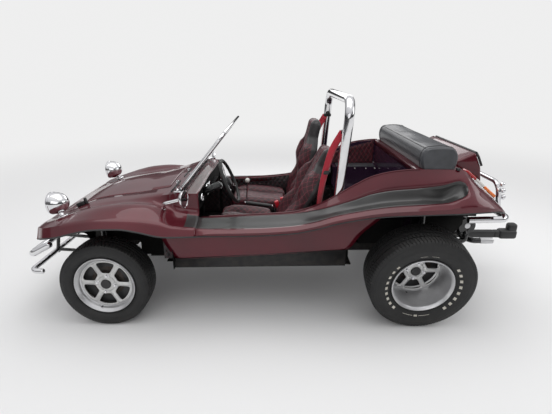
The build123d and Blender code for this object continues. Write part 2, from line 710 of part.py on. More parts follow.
def row_at(rows, x):
    """The values of a table of stations at one place along the car."""
    for a, b in zip(rows, rows[1:]):
        if b[0] <= x <= a[0]:
            t = (x - a[0]) / (b[0] - a[0])
            return [p + t * (q - p) for p, q in zip(a, b)]


def skin_z(x, y):
    """Height of the front bodywork's outer face."""
    row = row_at(FRONT_SECTIONS, x)
    line = [(0, row[1]), *zip(row[2::2], row[3::2])]
    for (y0, z0), (y1, z1) in zip(line, line[1:]):
        if y0 <= y <= y1:
            return z0 + (z1 - z0) * (y - y0) / (y1 - y0)


def skin_plane(x, y, reach=18.0):
    """Plane that lies on the front bodywork at a point, with z pointing out of it."""
    along = Vector(2 * reach, 0, skin_z(x + reach, y) - skin_z(x - reach, y))
    across = Vector(0, 2 * reach, skin_z(x, y + reach) - skin_z(x, y - reach))
    return Plane(origin=(x, y, skin_z(x, y)), x_dir=along, z_dir=along.cross(across))


def hood_hinge():
    return LID_REAR_X - MOVE_GAP / 2 - 2, skin_z(LID_REAR_X, HINGE_Y) + HINGE_EYE_R + 2


def front_body():
    skin = shell([front_line(row) for row in FRONT_SECTIONS], WALL)
    cut = box((LID_REAR_X - MOVE_GAP, LID_FRONT_X + MOVE_GAP),
              (-LID_HALF - MOVE_GAP, LID_HALF + MOVE_GAP), (500, 1200))
    lid_box = box((LID_REAR_X, LID_FRONT_X), (-LID_HALF, LID_HALF), (500, 1200))
    lid = skin & lid_box
    body = skin - cut
    nose_line = front_line(FRONT_SECTIONS[0])[1]
    corners = nose_line + [(nose_line[-1][0] - 10, NOSE_LOW_Z), (nose_line[0][0] + 10, NOSE_LOW_Z)]
    nose = extrude(make_face(Polyline(*[(FRONT_SECTIONS[0][0], y, z) for y, z in corners],
                                      close=True)), amount=WALL, dir=(1, 0, 0))
    body += nose
    hx, hz = hood_hinge()
    for side in (-1, 1):
        body += hinge_fixed(hx, side * HINGE_Y, hz, (-34, -12))
        lid += hinge_eye(hx, side * HINGE_Y, hz, (36, -14))
    return body, lid


def footwell():
    """Inner walls of the footwell, toe board and the panels behind the front wheels."""
    top = FOOTWELL_TOP
    low = PAN_Z + PAN_THICK
    wall = FOOTWELL_WALL
    line = [(COWL_REAR_X + wall, INNER_Y + wall / 2, STRIP_Z + FIT),
            (PAN_WAIST_X, INNER_Y + wall / 2, low + FIT),
            (PAN_WAIST_X + 108, PAN_FRONT_HALF - 4, low + FIT),
            (PAN_FRONT_X - 4, PAN_FRONT_HALF - 4, low + FIT)]
    sides = None
    for (x0, y0, base), (x1, y1, _) in zip(line, line[1:]):
        piece = Plane(origin=((x0 + x1) / 2, (y0 + y1) / 2, (base + top) / 2),
                      x_dir=(x1 - x0, y1 - y0, 0), z_dir=(0, 0, 1)) * Box(
            math.hypot(x1 - x0, y1 - y0) + wall, wall, top - base)
        sides = piece if sides is None else sides + piece
    sides += box((PAN_WAIST_X + FIT, PAN_WAIST_X + FIT + wall),
                 (PAN_HALF - 6, SIDE_PANEL_Y - WALL - FIT), (STRIP_Z + FIT, 640))
    toe_x = (PAN_FRONT_X - TOE_BACK - wall, PAN_FRONT_X - TOE_BACK)
    toe = box(toe_x, (-PAN_FRONT_HALF + 4, PAN_FRONT_HALF - 4), (PAN_Z + TUNNEL_HEIGHT + 4, top))
    for side in (-1, 1):
        toe += box(toe_x,
                   sorted((side * (TUNNEL_HALF + 4), side * (PAN_FRONT_HALF - 4))), (low, top))
    whole = sides + mirrored(sides) + toe
    return whole - steering_shaft(COLUMN_R + MOVE_GAP)


def wall_line(x):
    """The cockpit wall in Y and Z, from the floor strip up to the sill's inner edge."""
    on_sill = x > SIDE_SECTIONS[-1][0]
    row = row_at(SIDE_SECTIONS if on_sill else REAR_SECTIONS, x)
    # The rear wing is a separate moulding, so there the wall stops just short of it
    in_y, down = (1, 4) if on_sill else (9, 8)
    return [(INNER_Y, STRIP_Z - WALL), (INNER_Y, row[2] - WALL_BEND), (row[1] - in_y, row[2] - down)]


def inner_wall():
    """Cockpit wall that leans out to follow the sill's edge."""
    places = [row[0] for row in SIDE_SECTIONS] + [POCKET_X[1] + WALL]
    return shell([(x, wall_line(x)) for x in places], WALL)


def under_wing_z(x, y):
    """Height just under the rear wing's skin, on the slope above its scoop."""
    row = row_at(REAR_SECTIONS, x)
    slope = (row[4] - row[2]) / (row[3] - row[1])
    return row[2] + slope * (y - row[1]) - WALL * math.hypot(1, slope) - 2


def hoop_pocket():
    """Ledge that carries the hoop's foot, with the walls round it up to the wing."""
    back, front = POCKET_X
    outer = POCKET_Y + WALL
    pocket = box((back, front + 1), (INNER_Y, INNER_Y + WALL), (STRIP_Z - WALL, LEDGE_Z))
    pocket += box((back, front + 1), (INNER_Y, SIDE_PANEL_Y - 2), (LEDGE_Z - WALL, LEDGE_Z))
    pocket += xz_plate([(back, LEDGE_Z - WALL), (back, under_wing_z(back, outer)),
                        (front + WALL, under_wing_z(front + WALL, outer)),
                        (front + WALL, LEDGE_Z - WALL)], POCKET_Y, outer)
    knee, top = wall_line(front + WALL)[1:]
    riser = [(INNER_Y, LEDGE_Z - WALL), knee, top, (outer, under_wing_z(front + WALL, outer)),
             (outer, LEDGE_Z - WALL)]
    face = make_face(Polyline(*[(front, y, z) for y, z in riser], close=True))
    return pocket + extrude(face, amount=WALL, dir=(1, 0, 0))


def side_parts():
    """Sill tops, inner walls, side panels and rockers, left and right."""
    top = shell([side_line(row) for row in SIDE_SECTIONS], WALL)
    outline = SIDE_PANEL
    panel = xz_plate(outline, SIDE_PANEL_Y - WALL, SIDE_PANEL_Y)
    rocker = xz_plate([(600, 455), (64, 492), (-573, 528), ROCKER_BOTTOM[1], ROCKER_BOTTOM[0]],
                      ROCKER_Y - WALL, ROCKER_Y)
    shelf = None
    for (x0, z0), (x1, z1) in zip([(600, 452), (64, 488)], [(64, 488), (-573, 524)]):
        strip = xz_plate([(x0, z0), (x1, z1), (x1, z1 + WALL), (x0, z0 + WALL)],
                         ROCKER_Y - WALL, SIDE_PANEL_Y)
        shelf = strip if shelf is None else shelf + strip
    floor_x = (POCKET_X[0], 590)
    floor_strip = box(floor_x, (PAN_HALF - 14, ROCKER_Y - WALL / 2), (STRIP_Z - WALL, STRIP_Z))
    kerb = box(floor_x, (PAN_HALF - 14, PAN_HALF - 8), (PAN_Z + PAN_THICK + FIT, STRIP_Z - 1))
    return top, panel, rocker, shelf, inner_wall() + hoop_pocket(), floor_strip + kerb


def side_body():
    top, panel, rocker, shelf, inner, floor_strip = side_parts()
    return both(top + panel + rocker + shelf + inner + floor_strip)


def rear_body():
    skin = shell([side_line(row) for row in REAR_SECTIONS], WALL)
    tail_line = [(DECK_FRONT_X, DECK_Z), (DECK_REAR_X, DECK_Z), (TAIL_LOW_X, TAIL_LOW_Z),
                 (TAIL_LOW_X - TAIL_FOOT_RUN, TAIL_FOOT_Z)]
    inner = [(TAIL_LOW_X - TAIL_FOOT_RUN + WALL, TAIL_FOOT_Z), (TAIL_LOW_X + WALL, TAIL_LOW_Z - 3),
             (DECK_REAR_X - 2, DECK_Z - WALL), (DECK_FRONT_X, DECK_Z - WALL)]
    tail = xz_plate(tail_line + inner, -TAIL_HALF, TAIL_HALF)
    opening = box((-1500, -1350), (-ENGINE_LID_HALF + 30, ENGINE_LID_HALF - 30), (800, 1100))
    tail -= opening
    whole = tail + skin + mirrored(skin)
    hx, hz = engine_hinge()
    for side in (-1, 1):
        whole += hinge_fixed(hx, side * HINGE_Y, hz, (24, -22))
    return whole


def engine_hinge():
    return ENGINE_LID_LINE[0][0] + 6, ENGINE_LID_LINE[0][1] + 6


def engine_lid():
    """Hollow engine cover with a raised rear edge."""
    line = ENGINE_LID_LINE
    slope = (TAIL_LOW_Z - DECK_Z) / (TAIL_LOW_X - DECK_REAR_X)
    low = [(x, DECK_Z + (x - DECK_REAR_X) * slope + MOVE_GAP)
           for x in (line[-1][0] + 8, line[0][0] - 6)]
    block = xz_plate([*line, (line[-1][0] + 6, low[0][1]), low[1]],
                     -ENGINE_LID_HALF, ENGINE_LID_HALF)
    inner = offset_line(line[::-1], WALL)[::-1]
    first = (inner[0][0] - 18, inner[0][1] - 6)
    inside = xz_plate([first, *inner[1:], (inner[-1][0], inner[-1][1] - 20), (first[0], low[1][1] - 90)],
                      -ENGINE_LID_HALF + WALL, ENGINE_LID_HALF - WALL)
    lid = block - inside
    hx, hz = engine_hinge()
    for side in (-1, 1):
        lid += hinge_eye(hx, side * HINGE_Y, hz, (-26, 2))
    return lid


def inner_rear():
    """Moulding behind the seats: wheel boxes, bench box and the wall under the deck."""
    low = PAN_Z + PAN_THICK
    wall = 6.0
    front = PAN_REAR_X + 34
    bulk = box((DECK_FRONT_X - wall, DECK_FRONT_X), (-WHEEL_BOX_EDGE + 8, WHEEL_BOX_EDGE - 8),
               (WHEEL_BOX_LOW_Z, DECK_Z - WALL - FIT))
    wall_front = box((front, front + wall), (-INNER_Y + FIT, INNER_Y - FIT),
                     (low + TUNNEL_HEIGHT, BENCH_Z))
    for side in (-1, 1):
        wall_front += box((front, front + wall),
                          sorted((side * (TUNNEL_HALF + FIT), side * (INNER_Y - FIT))),
                          (PAN_Z + FORK_TOP + FIT, low + TUNNEL_HEIGHT + 1))
    bench = box((DECK_FRONT_X - 1, front + wall), (-INNER_Y + FIT, INNER_Y - FIT),
                (BENCH_Z - wall, BENCH_Z))
    box_wall = box((DECK_FRONT_X - 1, front), (WHEEL_BOX_Y, WHEEL_BOX_Y + wall),
                   (WHEEL_BOX_LOW_Z, WHEEL_BOX_Z))
    box_y = (WHEEL_BOX_Y, WHEEL_BOX_EDGE)
    box_top = box((DECK_FRONT_X - 1, front), box_y, (WHEEL_BOX_Z - wall, WHEEL_BOX_Z))
    box_nose = box((front - wall, front), box_y, (LEDGE_Z + FIT, WHEEL_BOX_Z))
    # Upper side wall, from the wheel box to the wing's inner edge
    wall_x = [front, *[row[0] for row in REAR_SECTIONS if DECK_FRONT_X < row[0] < front]]
    wall_x.append(DECK_FRONT_X + FIT)
    edge = [(x, row_at(REAR_SECTIONS, x)[2] - WALL / 2) for x in wall_x]
    upper = xz_plate([(wall_x[-1], WHEEL_BOX_Z - 1), (front, WHEEL_BOX_Z - 1), *edge],
                     WHEEL_BOX_EDGE - wall, WHEEL_BOX_EDGE)
    box_part = box_wall + box_top + box_nose + upper
    bracket = box((REAR_DAMPER_X - 36, DECK_FRONT_X - 1), DAMPER_SHELF_Y,
                  (REAR_DAMPER_TOP, REAR_DAMPER_TOP + wall))
    bracket += xz_plate([(REAR_DAMPER_X - 30, REAR_DAMPER_TOP + 1),
                         (DECK_FRONT_X - wall + 1, REAR_DAMPER_TOP + 1),
                         (DECK_FRONT_X - wall + 1, REAR_DAMPER_TOP + 110)],
                        DAMPER_SHELF_Y[0], DAMPER_SHELF_Y[0] + wall)
    half = box_part + bracket
    return bulk + wall_front + bench + half + mirrored(half)


def dashboard():
    panel = box(DASH_X, (-INNER_Y + FIT, INNER_Y - FIT), (DASH_LOW_Z, COWL_Z - 17 - FIT))
    panel = fillet(panel.edges().filter_by(Axis.Y), 12)
    for y, radius in DIALS:
        panel += rod((DASH_X[0] - DIAL_PROUD, y, DIAL_Z), (DASH_X[0] + 1, y, DIAL_Z), radius)
    return panel - steering_shaft(COLUMN_TUBE_R + FIT)


def windscreen():
    tx, tz = SCREEN_TOP
    bx = SCREEN_BASE_X
    bz = COWL_Z + FIT + SCREEN_BAR / 2 * math.sin(math.atan2(bx - tx, tz - COWL_Z))
    rise = Vector(tx - bx, 0, tz - bz)
    length = rise.length
    normal = Vector(rise.Z, 0, -rise.X).normalized()
    plane = Plane(origin=(bx, 0, bz), x_dir=(0, 1, 0), z_dir=normal)
    outer = Pos(0, length / 2, 0) * Box(2 * SCREEN_HALF, length, SCREEN_BAR)
    hole = Pos(0, length / 2, 0) * Box(2 * (SCREEN_HALF - SCREEN_BAR), length - 2 * SCREEN_BAR,
                                       SCREEN_BAR + 2)
    frame = outer - hole
    frame = fillet(frame.edges().filter_by(Axis.Z), 8)
    glass = Pos(0, length / 2, 0) * Box(2 * (SCREEN_HALF - SCREEN_BAR - FIT),
                                        length - 2 * (SCREEN_BAR + FIT), GLASS_THICK)
    glass = fillet(glass.edges().filter_by(Axis.Z), 8)
    return plane * frame, plane * glass


def hoop_x(z):
    """Middle of the raked hoop leg at a height."""
    rise = (z - HOOP_FOOT_Z) / (HOOP_TOP_Z - HOOP_FOOT_Z)
    return HOOP_LEG_X + rise * (HOOP_TOP_X - HOOP_LEG_X)


def roll_hoop():
    points = [(hoop_x(HOOP_FOOT_Z), HOOP_Y, HOOP_FOOT_Z), (HOOP_TOP_X, HOOP_Y, HOOP_TOP_Z),
              (HOOP_TOP_X, HOOP_BAR_HALF, HOOP_TOP_Z)]
    leg = bent_bar(points, [HOOP_BEND], HOOP_R)
    hoop = leg + mirrored(leg) + rod((HOOP_TOP_X, -HOOP_BAR_HALF, HOOP_TOP_Z),
                                     (HOOP_TOP_X, HOOP_BAR_HALF, HOOP_TOP_Z), HOOP_R)
    hoop -= box((-700, -300), (-700, 700), (500, LEDGE_Z + FIT))
    for side in (-1, 1):
        hoop += Pos(HOOP_LEG_X + 2, side * (HOOP_Y + 12), LEDGE_Z + FIT + 4) * Box(90, 78, 8)
    return hoop


def front_bumper():
    bar = FRONT_BAR
    whole = None
    for key in ("high", "low"):
        x, z, r, half = bar[key + "_x"], bar[key + "_z"], bar[key + "_r"], bar[key + "_half"]
        end = bent_bar([(x - 90, half, z), (x, half, z), (x, half - 120, z)], [50], r)
        pipe = end + mirrored(end) + rod((x, 120 - half, z), (x, half - 120, z), r)
        whole = pipe if whole is None else whole + pipe
    for side in (-1, 1):
        y = side * BUMPER_STAY_Y
        beam_face = AXLE_X + BEAM_AHEAD + BEAM_TUBE_R + FIT
        whole += rod((bar["high_x"], y, bar["high_z"]), (bar["low_x"], y, bar["low_z"]), 14)
        for key, z in (("high", BEAM_HIGH_Z), ("low", BEAM_LOW_Z)):
            whole += rod((bar[key + "_x"], y, bar[key + "_z"]), (beam_face + 10, y, z), 13)
            whole += box((beam_face, beam_face + 16), (y - 22, y + 22), (z - 22, z + 22))
    return whole


def rear_bumper():
    x, z = REAR_BAR_X, REAR_BAR_Z
    half = REAR_BAR_HALF
    bar = bent_bar([(-1380, half, z - 6), (x, half, z), (x, -half, z), (-1380, -half, z - 6)],
                   [60, 60], REAR_BAR_R)
    bar += bent_bar([(x, GUARD_Y, z), (GUARD_X, GUARD_Y, GUARD_Z), (GUARD_X, -GUARD_Y, GUARD_Z),
                     (x, -GUARD_Y, z)], [70, 70], GUARD_R)
    lean = TAIL_FOOT_RUN / (TAIL_LOW_Z - TAIL_FOOT_Z)
    foot = [(TAIL_LOW_X - TAIL_FOOT_RUN - FIT - 0.5 + dz * lean, TAIL_FOOT_Z + dz) for dz in (3, 36)]
    for y in (-GUARD_Y, GUARD_Y):
        bar += xz_plate([*foot, (x + 4, z + 26), (x - 6, z), (x + 12, z - 10)], y - 5, y + 5)
    bar += xz_plate([(x - 8, z - 4), (x + 14, z - 4), (x + 14, HITCH_Z + 20 + FIT),
                     (x - 8, HITCH_Z + 20 + FIT)], -16, 16)
    return bar


def tow_hitch():
    cross_x = FORK_REAR_X - 320
    bar = box((HITCH_END_X + 40, cross_x), (-20, 20), (HITCH_Z - 20, HITCH_Z + 20))
    bar += box((cross_x - 20, cross_x + 20), (-FORK_Y, FORK_Y), (HITCH_Z - 28, HITCH_Z + 12))
    for side in (-1, 1):
        bar += box((cross_x, FORK_REAR_X - FIT), sorted((side * 150, side * FORK_Y)),
                   (HITCH_Z - 28, HITCH_Z + 12))
    head_x = HITCH_END_X + 40
    pad = Pos(head_x, 0, HITCH_Z) * Cylinder(40, 30)
    neck = Pos(head_x, 0, HITCH_Z + 30) * Cylinder(14, 40)
    ball = Pos(head_x, 0, HITCH_Z + 64) * Sphere(HITCH_BALL_R)
    return bar + pad + neck + ball


def headlamps():
    x, y, z = LAMP_AT
    bowl = Pos(x, y, z) * Sphere(LAMP_R)
    bowl -= box((x + 22, x + 200), (y - 200, y + 200), (z - 200, z + 200))
    ring = Plane(origin=(x + 18, y, z), z_dir=(1, 0, 0)) * Cylinder(LAMP_R, 20)
    seat_plane = skin_plane(x - 58, y + 30)
    foot = seat_plane * Pos(0, 0, FIT + 6.5) * Cylinder(30, 12)
    stem = rod((x - 12, y, z - 40), tuple(seat_plane.origin + seat_plane.z_dir * 10), 12)
    stem += foot
    dome_r = (LENS_R ** 2 + LENS_RISE ** 2) / (2 * LENS_RISE)
    dome = Cylinder(LENS_R, LENS_THICK) & (Pos(0, 0, LENS_THICK / 2 - dome_r) * Sphere(dome_r))
    lens = Plane(origin=(x + 28 + FIT + LENS_THICK / 2, y, z), z_dir=(1, 0, 0)) * dome
    return both(bowl + ring + stem), both(lens)


def mirrors():
    seat_plane = skin_plane(MIRROR_X, MIRROR_Y, 8)
    foot = seat_plane.origin + seat_plane.z_dir * (FIT + 3.3)
    arm = Plane(origin=foot, z_dir=seat_plane.z_dir) * Cylinder(16, 6)
    arm += rod(tuple(foot), (MIRROR_X - 30, 640, 850), 7)
    arm += Pos(MIRROR_X - 30, 640, 850) * Sphere(7.4)
    arm += rod((MIRROR_X - 30, 640, 850), (MIRROR_HEAD[0] + 8, MIRROR_HEAD[1], MIRROR_HEAD[2]), 7)
    bowl = Cylinder(MIRROR_R, MIRROR_DEPTH)
    bowl = fillet(bowl.edges().group_by(Axis.Z)[0], MIRROR_DEPTH / 2)
    return both(arm + Plane(origin=MIRROR_HEAD, z_dir=(-1, 0.2, 0)) * bowl)


def wipers():
    whole = None
    for y in (-60.0, 330.0):
        z = skin_z(WIPER_X - 13, abs(y)) + FIT + 0.2
        piece = Pos(WIPER_X, y, z + 14) * Cylinder(13, 28)
        tip_x, tip_y, tip_z = WIPER_X - 38, y + WIPER_REACH, z + 34
        piece += rod((WIPER_X, y, z + 24), (tip_x, tip_y, tip_z), 4)
        blade_x, blade_z = tip_x - 3, tip_z + 2
        piece += rod((blade_x, y + 40, blade_z), (blade_x, tip_y + 15, blade_z), 5)
        whole = piece if whole is None else whole + piece
    return whole


def tail_lamps():
    """Slim lamp clusters on the sloping rear face."""
    slope = math.degrees(math.atan2(DECK_Z - TAIL_LOW_Z, DECK_REAR_X - TAIL_LOW_X))
    mid = ((DECK_REAR_X + TAIL_LOW_X) / 2, (DECK_Z + TAIL_LOW_Z) / 2)
    normal = Vector(-math.sin(math.radians(slope)), 0, math.cos(math.radians(slope)))
    plane = Plane(origin=(mid[0], TAIL_LAMP_Y, mid[1]), x_dir=(0, 1, 0), z_dir=normal)
    width, length, depth = TAIL_LAMP
    lamp = Box(width, length, depth)
    lamp = fillet(lamp.edges().filter_by(Axis.Z), TAIL_LAMP_ROUND)
    lamp = fillet(lamp.edges().group_by(Axis.Z)[-1], TAIL_LAMP_ROUND / 3)
    return both(plane * Pos(0, 0, depth / 2 + FIT) * lamp)


def seat(side, pivot_x, recline):
    y = side * SEAT_Y
    half = SEAT_WIDTH / 2
    low = CUSHION_TOP_Z - CUSHION_THICK
    cushion = box((pivot_x + 20, pivot_x + 20 + CUSHION_LENGTH), (y - half, y + half),
                  (low, CUSHION_TOP_Z))
    cushion = fillet(cushion.edges(), SEAT_ROUND)
    plane = Pos(pivot_x - 45, y, low + 10) * Rot(0, -recline, 0)
    back = box((-BACK_THICK / 2, BACK_THICK / 2), (-half, half), (0, BACK_LENGTH))
    head = box((-BACK_THICK / 2 + 10, BACK_THICK / 2 - 10), (-half + 95, half - 95),
               (BACK_LENGTH - 60, BACK_LENGTH + HEADREST_HEIGHT))
    back = fillet(back.edges(), SEAT_ROUND) + fillet(head.edges(), 30)
    return cushion, plane * back


def seat_frames():
    whole = []
    for spec in SEATS.values():
        y = spec["side"] * SEAT_Y
        x = spec["pivot_x"] - 20
        low = CUSHION_TOP_Z - CUSHION_THICK
        piece = box((x, x + 480), (y - 190, y + 190), (low - 24, low - FIT))
        lean = math.radians(spec["recline"])
        rest_z = (low + 10 - (BACK_THICK / 2 - SEAT_ROUND) * math.sin(lean)
                  + SEAT_ROUND * math.cos(lean) - SEAT_ROUND - FIT)
        piece += box((x - 90, x + 1), (y - 150, y + 150), (rest_z - 8, rest_z))
        for dx in (20, 420):
            for dy in (-140, 140):
                piece += box((x + dx, x + dx + 40), (y + dy - 15, y + dy + 15),
                             (PAN_Z + PAN_THICK + FIT, low - 20))
        whole.extend(piece.solids())
    return Compound(children=whole)


def seat_belts():
    whole = []
    for side in (1, -1):
        y = HOOP_Y - HOOP_R - FIT - BELT_THICK
        top = HOOP_TOP_Z - BELT_DROP
        x = hoop_x(top)
        strap = xz_plate([(x - 14, top), (x + 18, top), (-330, 650), (-322, 620), (-366, 620),
                          (-362, 650), (x - 14, top - 38)], y, y + BELT_THICK)
        strap += box((-362, -326), (y, INNER_Y - FIT), (622, 646))
        whole.extend((strap if side > 0 else mirrored(strap)).solids())
    return Compound(children=whole)


def bolster():
    pad = box((-1262, -1050), (-592, 592), (DECK_Z + FIT, DECK_Z + 128))
    return fillet(pad.edges(), 35)


def controls():
    top = PAN_Z + TUNNEL_HEIGHT + FIT
    knob_x, knob_z = GEAR_KNOB
    lever = Pos(GEAR_X, 0, top + 25) * Cone(GAITER_R, 10, 50)
    lever += rod((GEAR_X, 0, top + 40), (knob_x, 0, knob_z - 8), 7)
    lever += Pos(knob_x, 0, knob_z) * Sphere(20)
    (foot_x, foot_y), (knee_x, knee_z), (end_x, end_z) = BRAKE_FOOT, BRAKE_KNEE, BRAKE_END
    knee, end = Vector(knee_x, BRAKE_Y, knee_z), Vector(end_x, BRAKE_Y, end_z)
    brake = Pos(foot_x, 0, top + 20) * Box(60, 40, 40)
    brake += rod((foot_x, foot_y, top + 30), tuple(knee), 9)
    brake += Pos(*knee) * Sphere(9.4)
    brake += rod(tuple(knee), tuple(end), 9.2)
    brake += rod(tuple(knee + (end - knee) * 0.2), tuple(end), 15) + Pos(*end) * Sphere(15.4)
    pedals = []
    floor = PAN_Z + PAN_THICK
    for y in PEDALS_Y:
        arm = Pos(PEDAL_X, y, floor + FIT + 10) * Box(40, 24, 20)
        arm += rod((PEDAL_X, y, floor + 12), (PEDAL_X - 18, y, PEDAL_Z), 7)
        arm += box((PEDAL_X - 30, PEDAL_X - 18), (y - 25, y + 25), (PEDAL_Z - 30, PEDAL_Z + 30))
        pedals.extend(arm.solids())
    return Compound(children=[*lever.solids(), *brake.solids(), *pedals])


def build():
    os.makedirs("parts", exist_ok=True)
    wheels()
    left = knuckle()
    save("knuckle_left", left)
    save("knuckle_right", mirrored(left))
    save("front_arms", front_arms())
    save("tie_rod", tie_rod())
    save("front_beam", beam())
    save("dampers", dampers())
    wheel, column = steering_parts()
    save("steering_wheel", wheel)
    save("steering_column", column)
    save("floor_pan", floor_pan())
    save("transaxle", transaxle())
    save("engine", engine())
    save("exhaust", exhaust())
    save("fuel_tank", fuel_tank())
    body, lid = front_body()
    save("body_front", body)
    save("hood_lid", lid)
    save("footwell", footwell())
    save("body_sides", side_body())
    save("body_rear", rear_body())
    save("engine_lid", engine_lid())
    save("inner_rear", inner_rear())
    save("dashboard", dashboard())
    frame, glass = windscreen()
    save("windscreen_frame", frame)
    save("windscreen_glass", glass)
    save("roll_hoop", roll_hoop())
    save("front_bumper", front_bumper())
    save("rear_bumper", rear_bumper())
    save("tow_hitch", tow_hitch())
    bowls, lenses = headlamps()
    save("headlamps", bowls)
    save("headlamp_lenses", lenses)
    save("mirrors", mirrors())
    save("wipers", wipers())
    save("tail_lamps", tail_lamps())
    for name, spec in SEATS.items():
        cushion, back = seat(**spec)
        save(f"seat_cushion_{name}", cushion)
        save(f"seat_back_{name}", back)
    save("seat_frames", seat_frames())
    save("seat_belts", seat_belts())
    save("rear_bolster", bolster())
    save("driver_controls", controls())


build()
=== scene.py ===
import json
import math

import bmesh
import bpy
from mathutils import Matrix, Vector

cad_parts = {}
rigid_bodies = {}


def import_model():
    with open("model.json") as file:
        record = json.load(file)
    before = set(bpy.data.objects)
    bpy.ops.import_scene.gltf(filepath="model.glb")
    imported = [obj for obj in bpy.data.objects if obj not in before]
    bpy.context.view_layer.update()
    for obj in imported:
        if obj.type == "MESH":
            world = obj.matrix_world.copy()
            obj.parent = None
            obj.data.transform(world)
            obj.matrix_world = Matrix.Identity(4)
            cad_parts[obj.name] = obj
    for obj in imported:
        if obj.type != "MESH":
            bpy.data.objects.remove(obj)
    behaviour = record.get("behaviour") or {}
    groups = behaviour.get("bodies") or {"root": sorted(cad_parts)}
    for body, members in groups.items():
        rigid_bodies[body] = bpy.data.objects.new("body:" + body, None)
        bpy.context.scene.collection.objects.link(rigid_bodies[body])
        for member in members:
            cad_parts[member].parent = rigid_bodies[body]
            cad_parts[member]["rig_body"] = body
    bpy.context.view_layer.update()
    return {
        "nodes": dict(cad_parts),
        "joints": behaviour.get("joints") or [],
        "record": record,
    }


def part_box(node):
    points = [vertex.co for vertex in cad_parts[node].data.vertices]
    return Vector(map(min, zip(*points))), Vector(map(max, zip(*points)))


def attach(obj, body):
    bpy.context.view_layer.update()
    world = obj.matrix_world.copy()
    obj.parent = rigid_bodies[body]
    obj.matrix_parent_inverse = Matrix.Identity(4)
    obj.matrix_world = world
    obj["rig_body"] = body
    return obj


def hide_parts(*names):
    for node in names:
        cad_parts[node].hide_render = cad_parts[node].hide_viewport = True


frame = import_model()

# Open two-seat buggy. Stations are written in metres from mid-wheelbase, X forward, Y to the
# driver's side and Z up from the ground, and SHIFT carries them to the frame's own origin.

JOINTS = {joint["name"]: joint for joint in frame["joints"]}
FRONT_HUB = Vector(JOINTS["wheel_front_left_spin"]["pos_m"])
REAR_HUB = Vector(JOINTS["wheel_rear_left_spin"]["pos_m"])
SHIFT = (FRONT_HUB.x + REAR_HUB.x) / 2
AXLE_X = (FRONT_HUB.x - REAR_HUB.x) / 2

# Lines of the front bodywork, one row a station, from the centreline out to the lip.
# Columns: x, crown_z, hood_y, hood_z, valley_y, valley_z, crest_y, crest_z,
# crease_y, crease_z, lip_y, lip_z
FRONT_SECTIONS = [
    (1.485, 0.690, 0.400, 0.688, 0.470, 0.686, 0.560, 0.690, 0.640, 0.684, 0.668, 0.616),
    (1.400, 0.722, 0.405, 0.707, 0.475, 0.701, 0.580, 0.718, 0.720, 0.708, 0.752, 0.648),
    (1.290, 0.780, 0.412, 0.750, 0.480, 0.740, 0.585, 0.757, 0.745, 0.735, 0.782, 0.672),
    (1.190, 0.818, 0.420, 0.780, 0.485, 0.770, 0.585, 0.790, 0.748, 0.753, 0.786, 0.699),
    (1.050, 0.846, 0.430, 0.803, 0.490, 0.790, 0.585, 0.820, 0.748, 0.768, 0.786, 0.724),
    (0.900, 0.858, 0.445, 0.825, 0.495, 0.812, 0.585, 0.833, 0.748, 0.768, 0.786, 0.727),
    (0.770, 0.882, 0.470, 0.846, 0.515, 0.818, 0.588, 0.825, 0.745, 0.760, 0.784, 0.706),
    (0.640, 0.898, 0.515, 0.874, 0.545, 0.802, 0.595, 0.785, 0.735, 0.741, 0.775, 0.672),
    (0.560, 0.902, 0.560, 0.895, 0.570, 0.768, 0.605, 0.744, 0.725, 0.716, 0.760, 0.664),
    (0.425, 0.902, 0.552, 0.892, 0.560, 0.742, 0.605, 0.724, 0.712, 0.700, 0.740, 0.660),
]
# Lines of the sills and rear wings, one row a station, from the cockpit's edge out to the lip.
# Columns: x, edge_y, edge_z, scoop_top_y, scoop_top_z, scoop_low_y, scoop_low_z,
# scoop_depth, lip_y, lip_z
SIDE_SECTIONS = [
    (0.425, 0.540, 0.722, 0.560, 0.720, 0.700, 0.698, 0.000, 0.740, 0.660),
    (0.060, 0.532, 0.738, 0.552, 0.736, 0.700, 0.703, 0.000, 0.738, 0.664),
    (-0.200, 0.545, 0.760, 0.566, 0.756, 0.706, 0.722, 0.002, 0.745, 0.684),
    (-0.340, 0.568, 0.806, 0.600, 0.790, 0.728, 0.757, 0.008, 0.765, 0.718),
    (-0.465, 0.603, 0.880, 0.652, 0.838, 0.755, 0.806, 0.018, 0.792, 0.765),
    (-0.600, 0.606, 0.962, 0.660, 0.882, 0.762, 0.838, 0.028, 0.800, 0.796),
    (-0.720, 0.606, 1.024, 0.664, 0.926, 0.764, 0.860, 0.034, 0.802, 0.814),
    (-0.850, 0.606, 1.056, 0.666, 0.950, 0.765, 0.876, 0.038, 0.802, 0.824),
    (-1.000, 0.606, 1.070, 0.668, 0.963, 0.765, 0.886, 0.042, 0.802, 0.830),
    (-1.150, 0.606, 1.070, 0.670, 0.984, 0.765, 0.898, 0.044, 0.802, 0.836),
    (-1.290, 0.604, 1.066, 0.668, 1.020, 0.758, 0.935, 0.006, 0.798, 0.841),
    (-1.410, 0.602, 0.964, 0.664, 0.948, 0.745, 0.900, 0.000, 0.786, 0.844),
    (-1.500, 0.598, 0.893, 0.652, 0.885, 0.716, 0.868, 0.000, 0.754, 0.838),
    (-1.530, 0.592, 0.868, 0.644, 0.861, 0.700, 0.848, 0.000, 0.736, 0.826),
    (-1.556, 0.588, 0.842, 0.632, 0.834, 0.672, 0.824, 0.000, 0.700, 0.808),
]
JOINT_X = 0.425                # where the front bodywork meets the sills
TAIL_X = -1.556                # where the tail turns down
DECK_FRONT_X = -1.000
SKIN = 0.005                   # thickness of the moulding
LID_X = (0.668, 1.440)         # ends of the hood lid
LID_HALF = 0.330
SHUT_GAP = 0.006


# Small tools for meshes

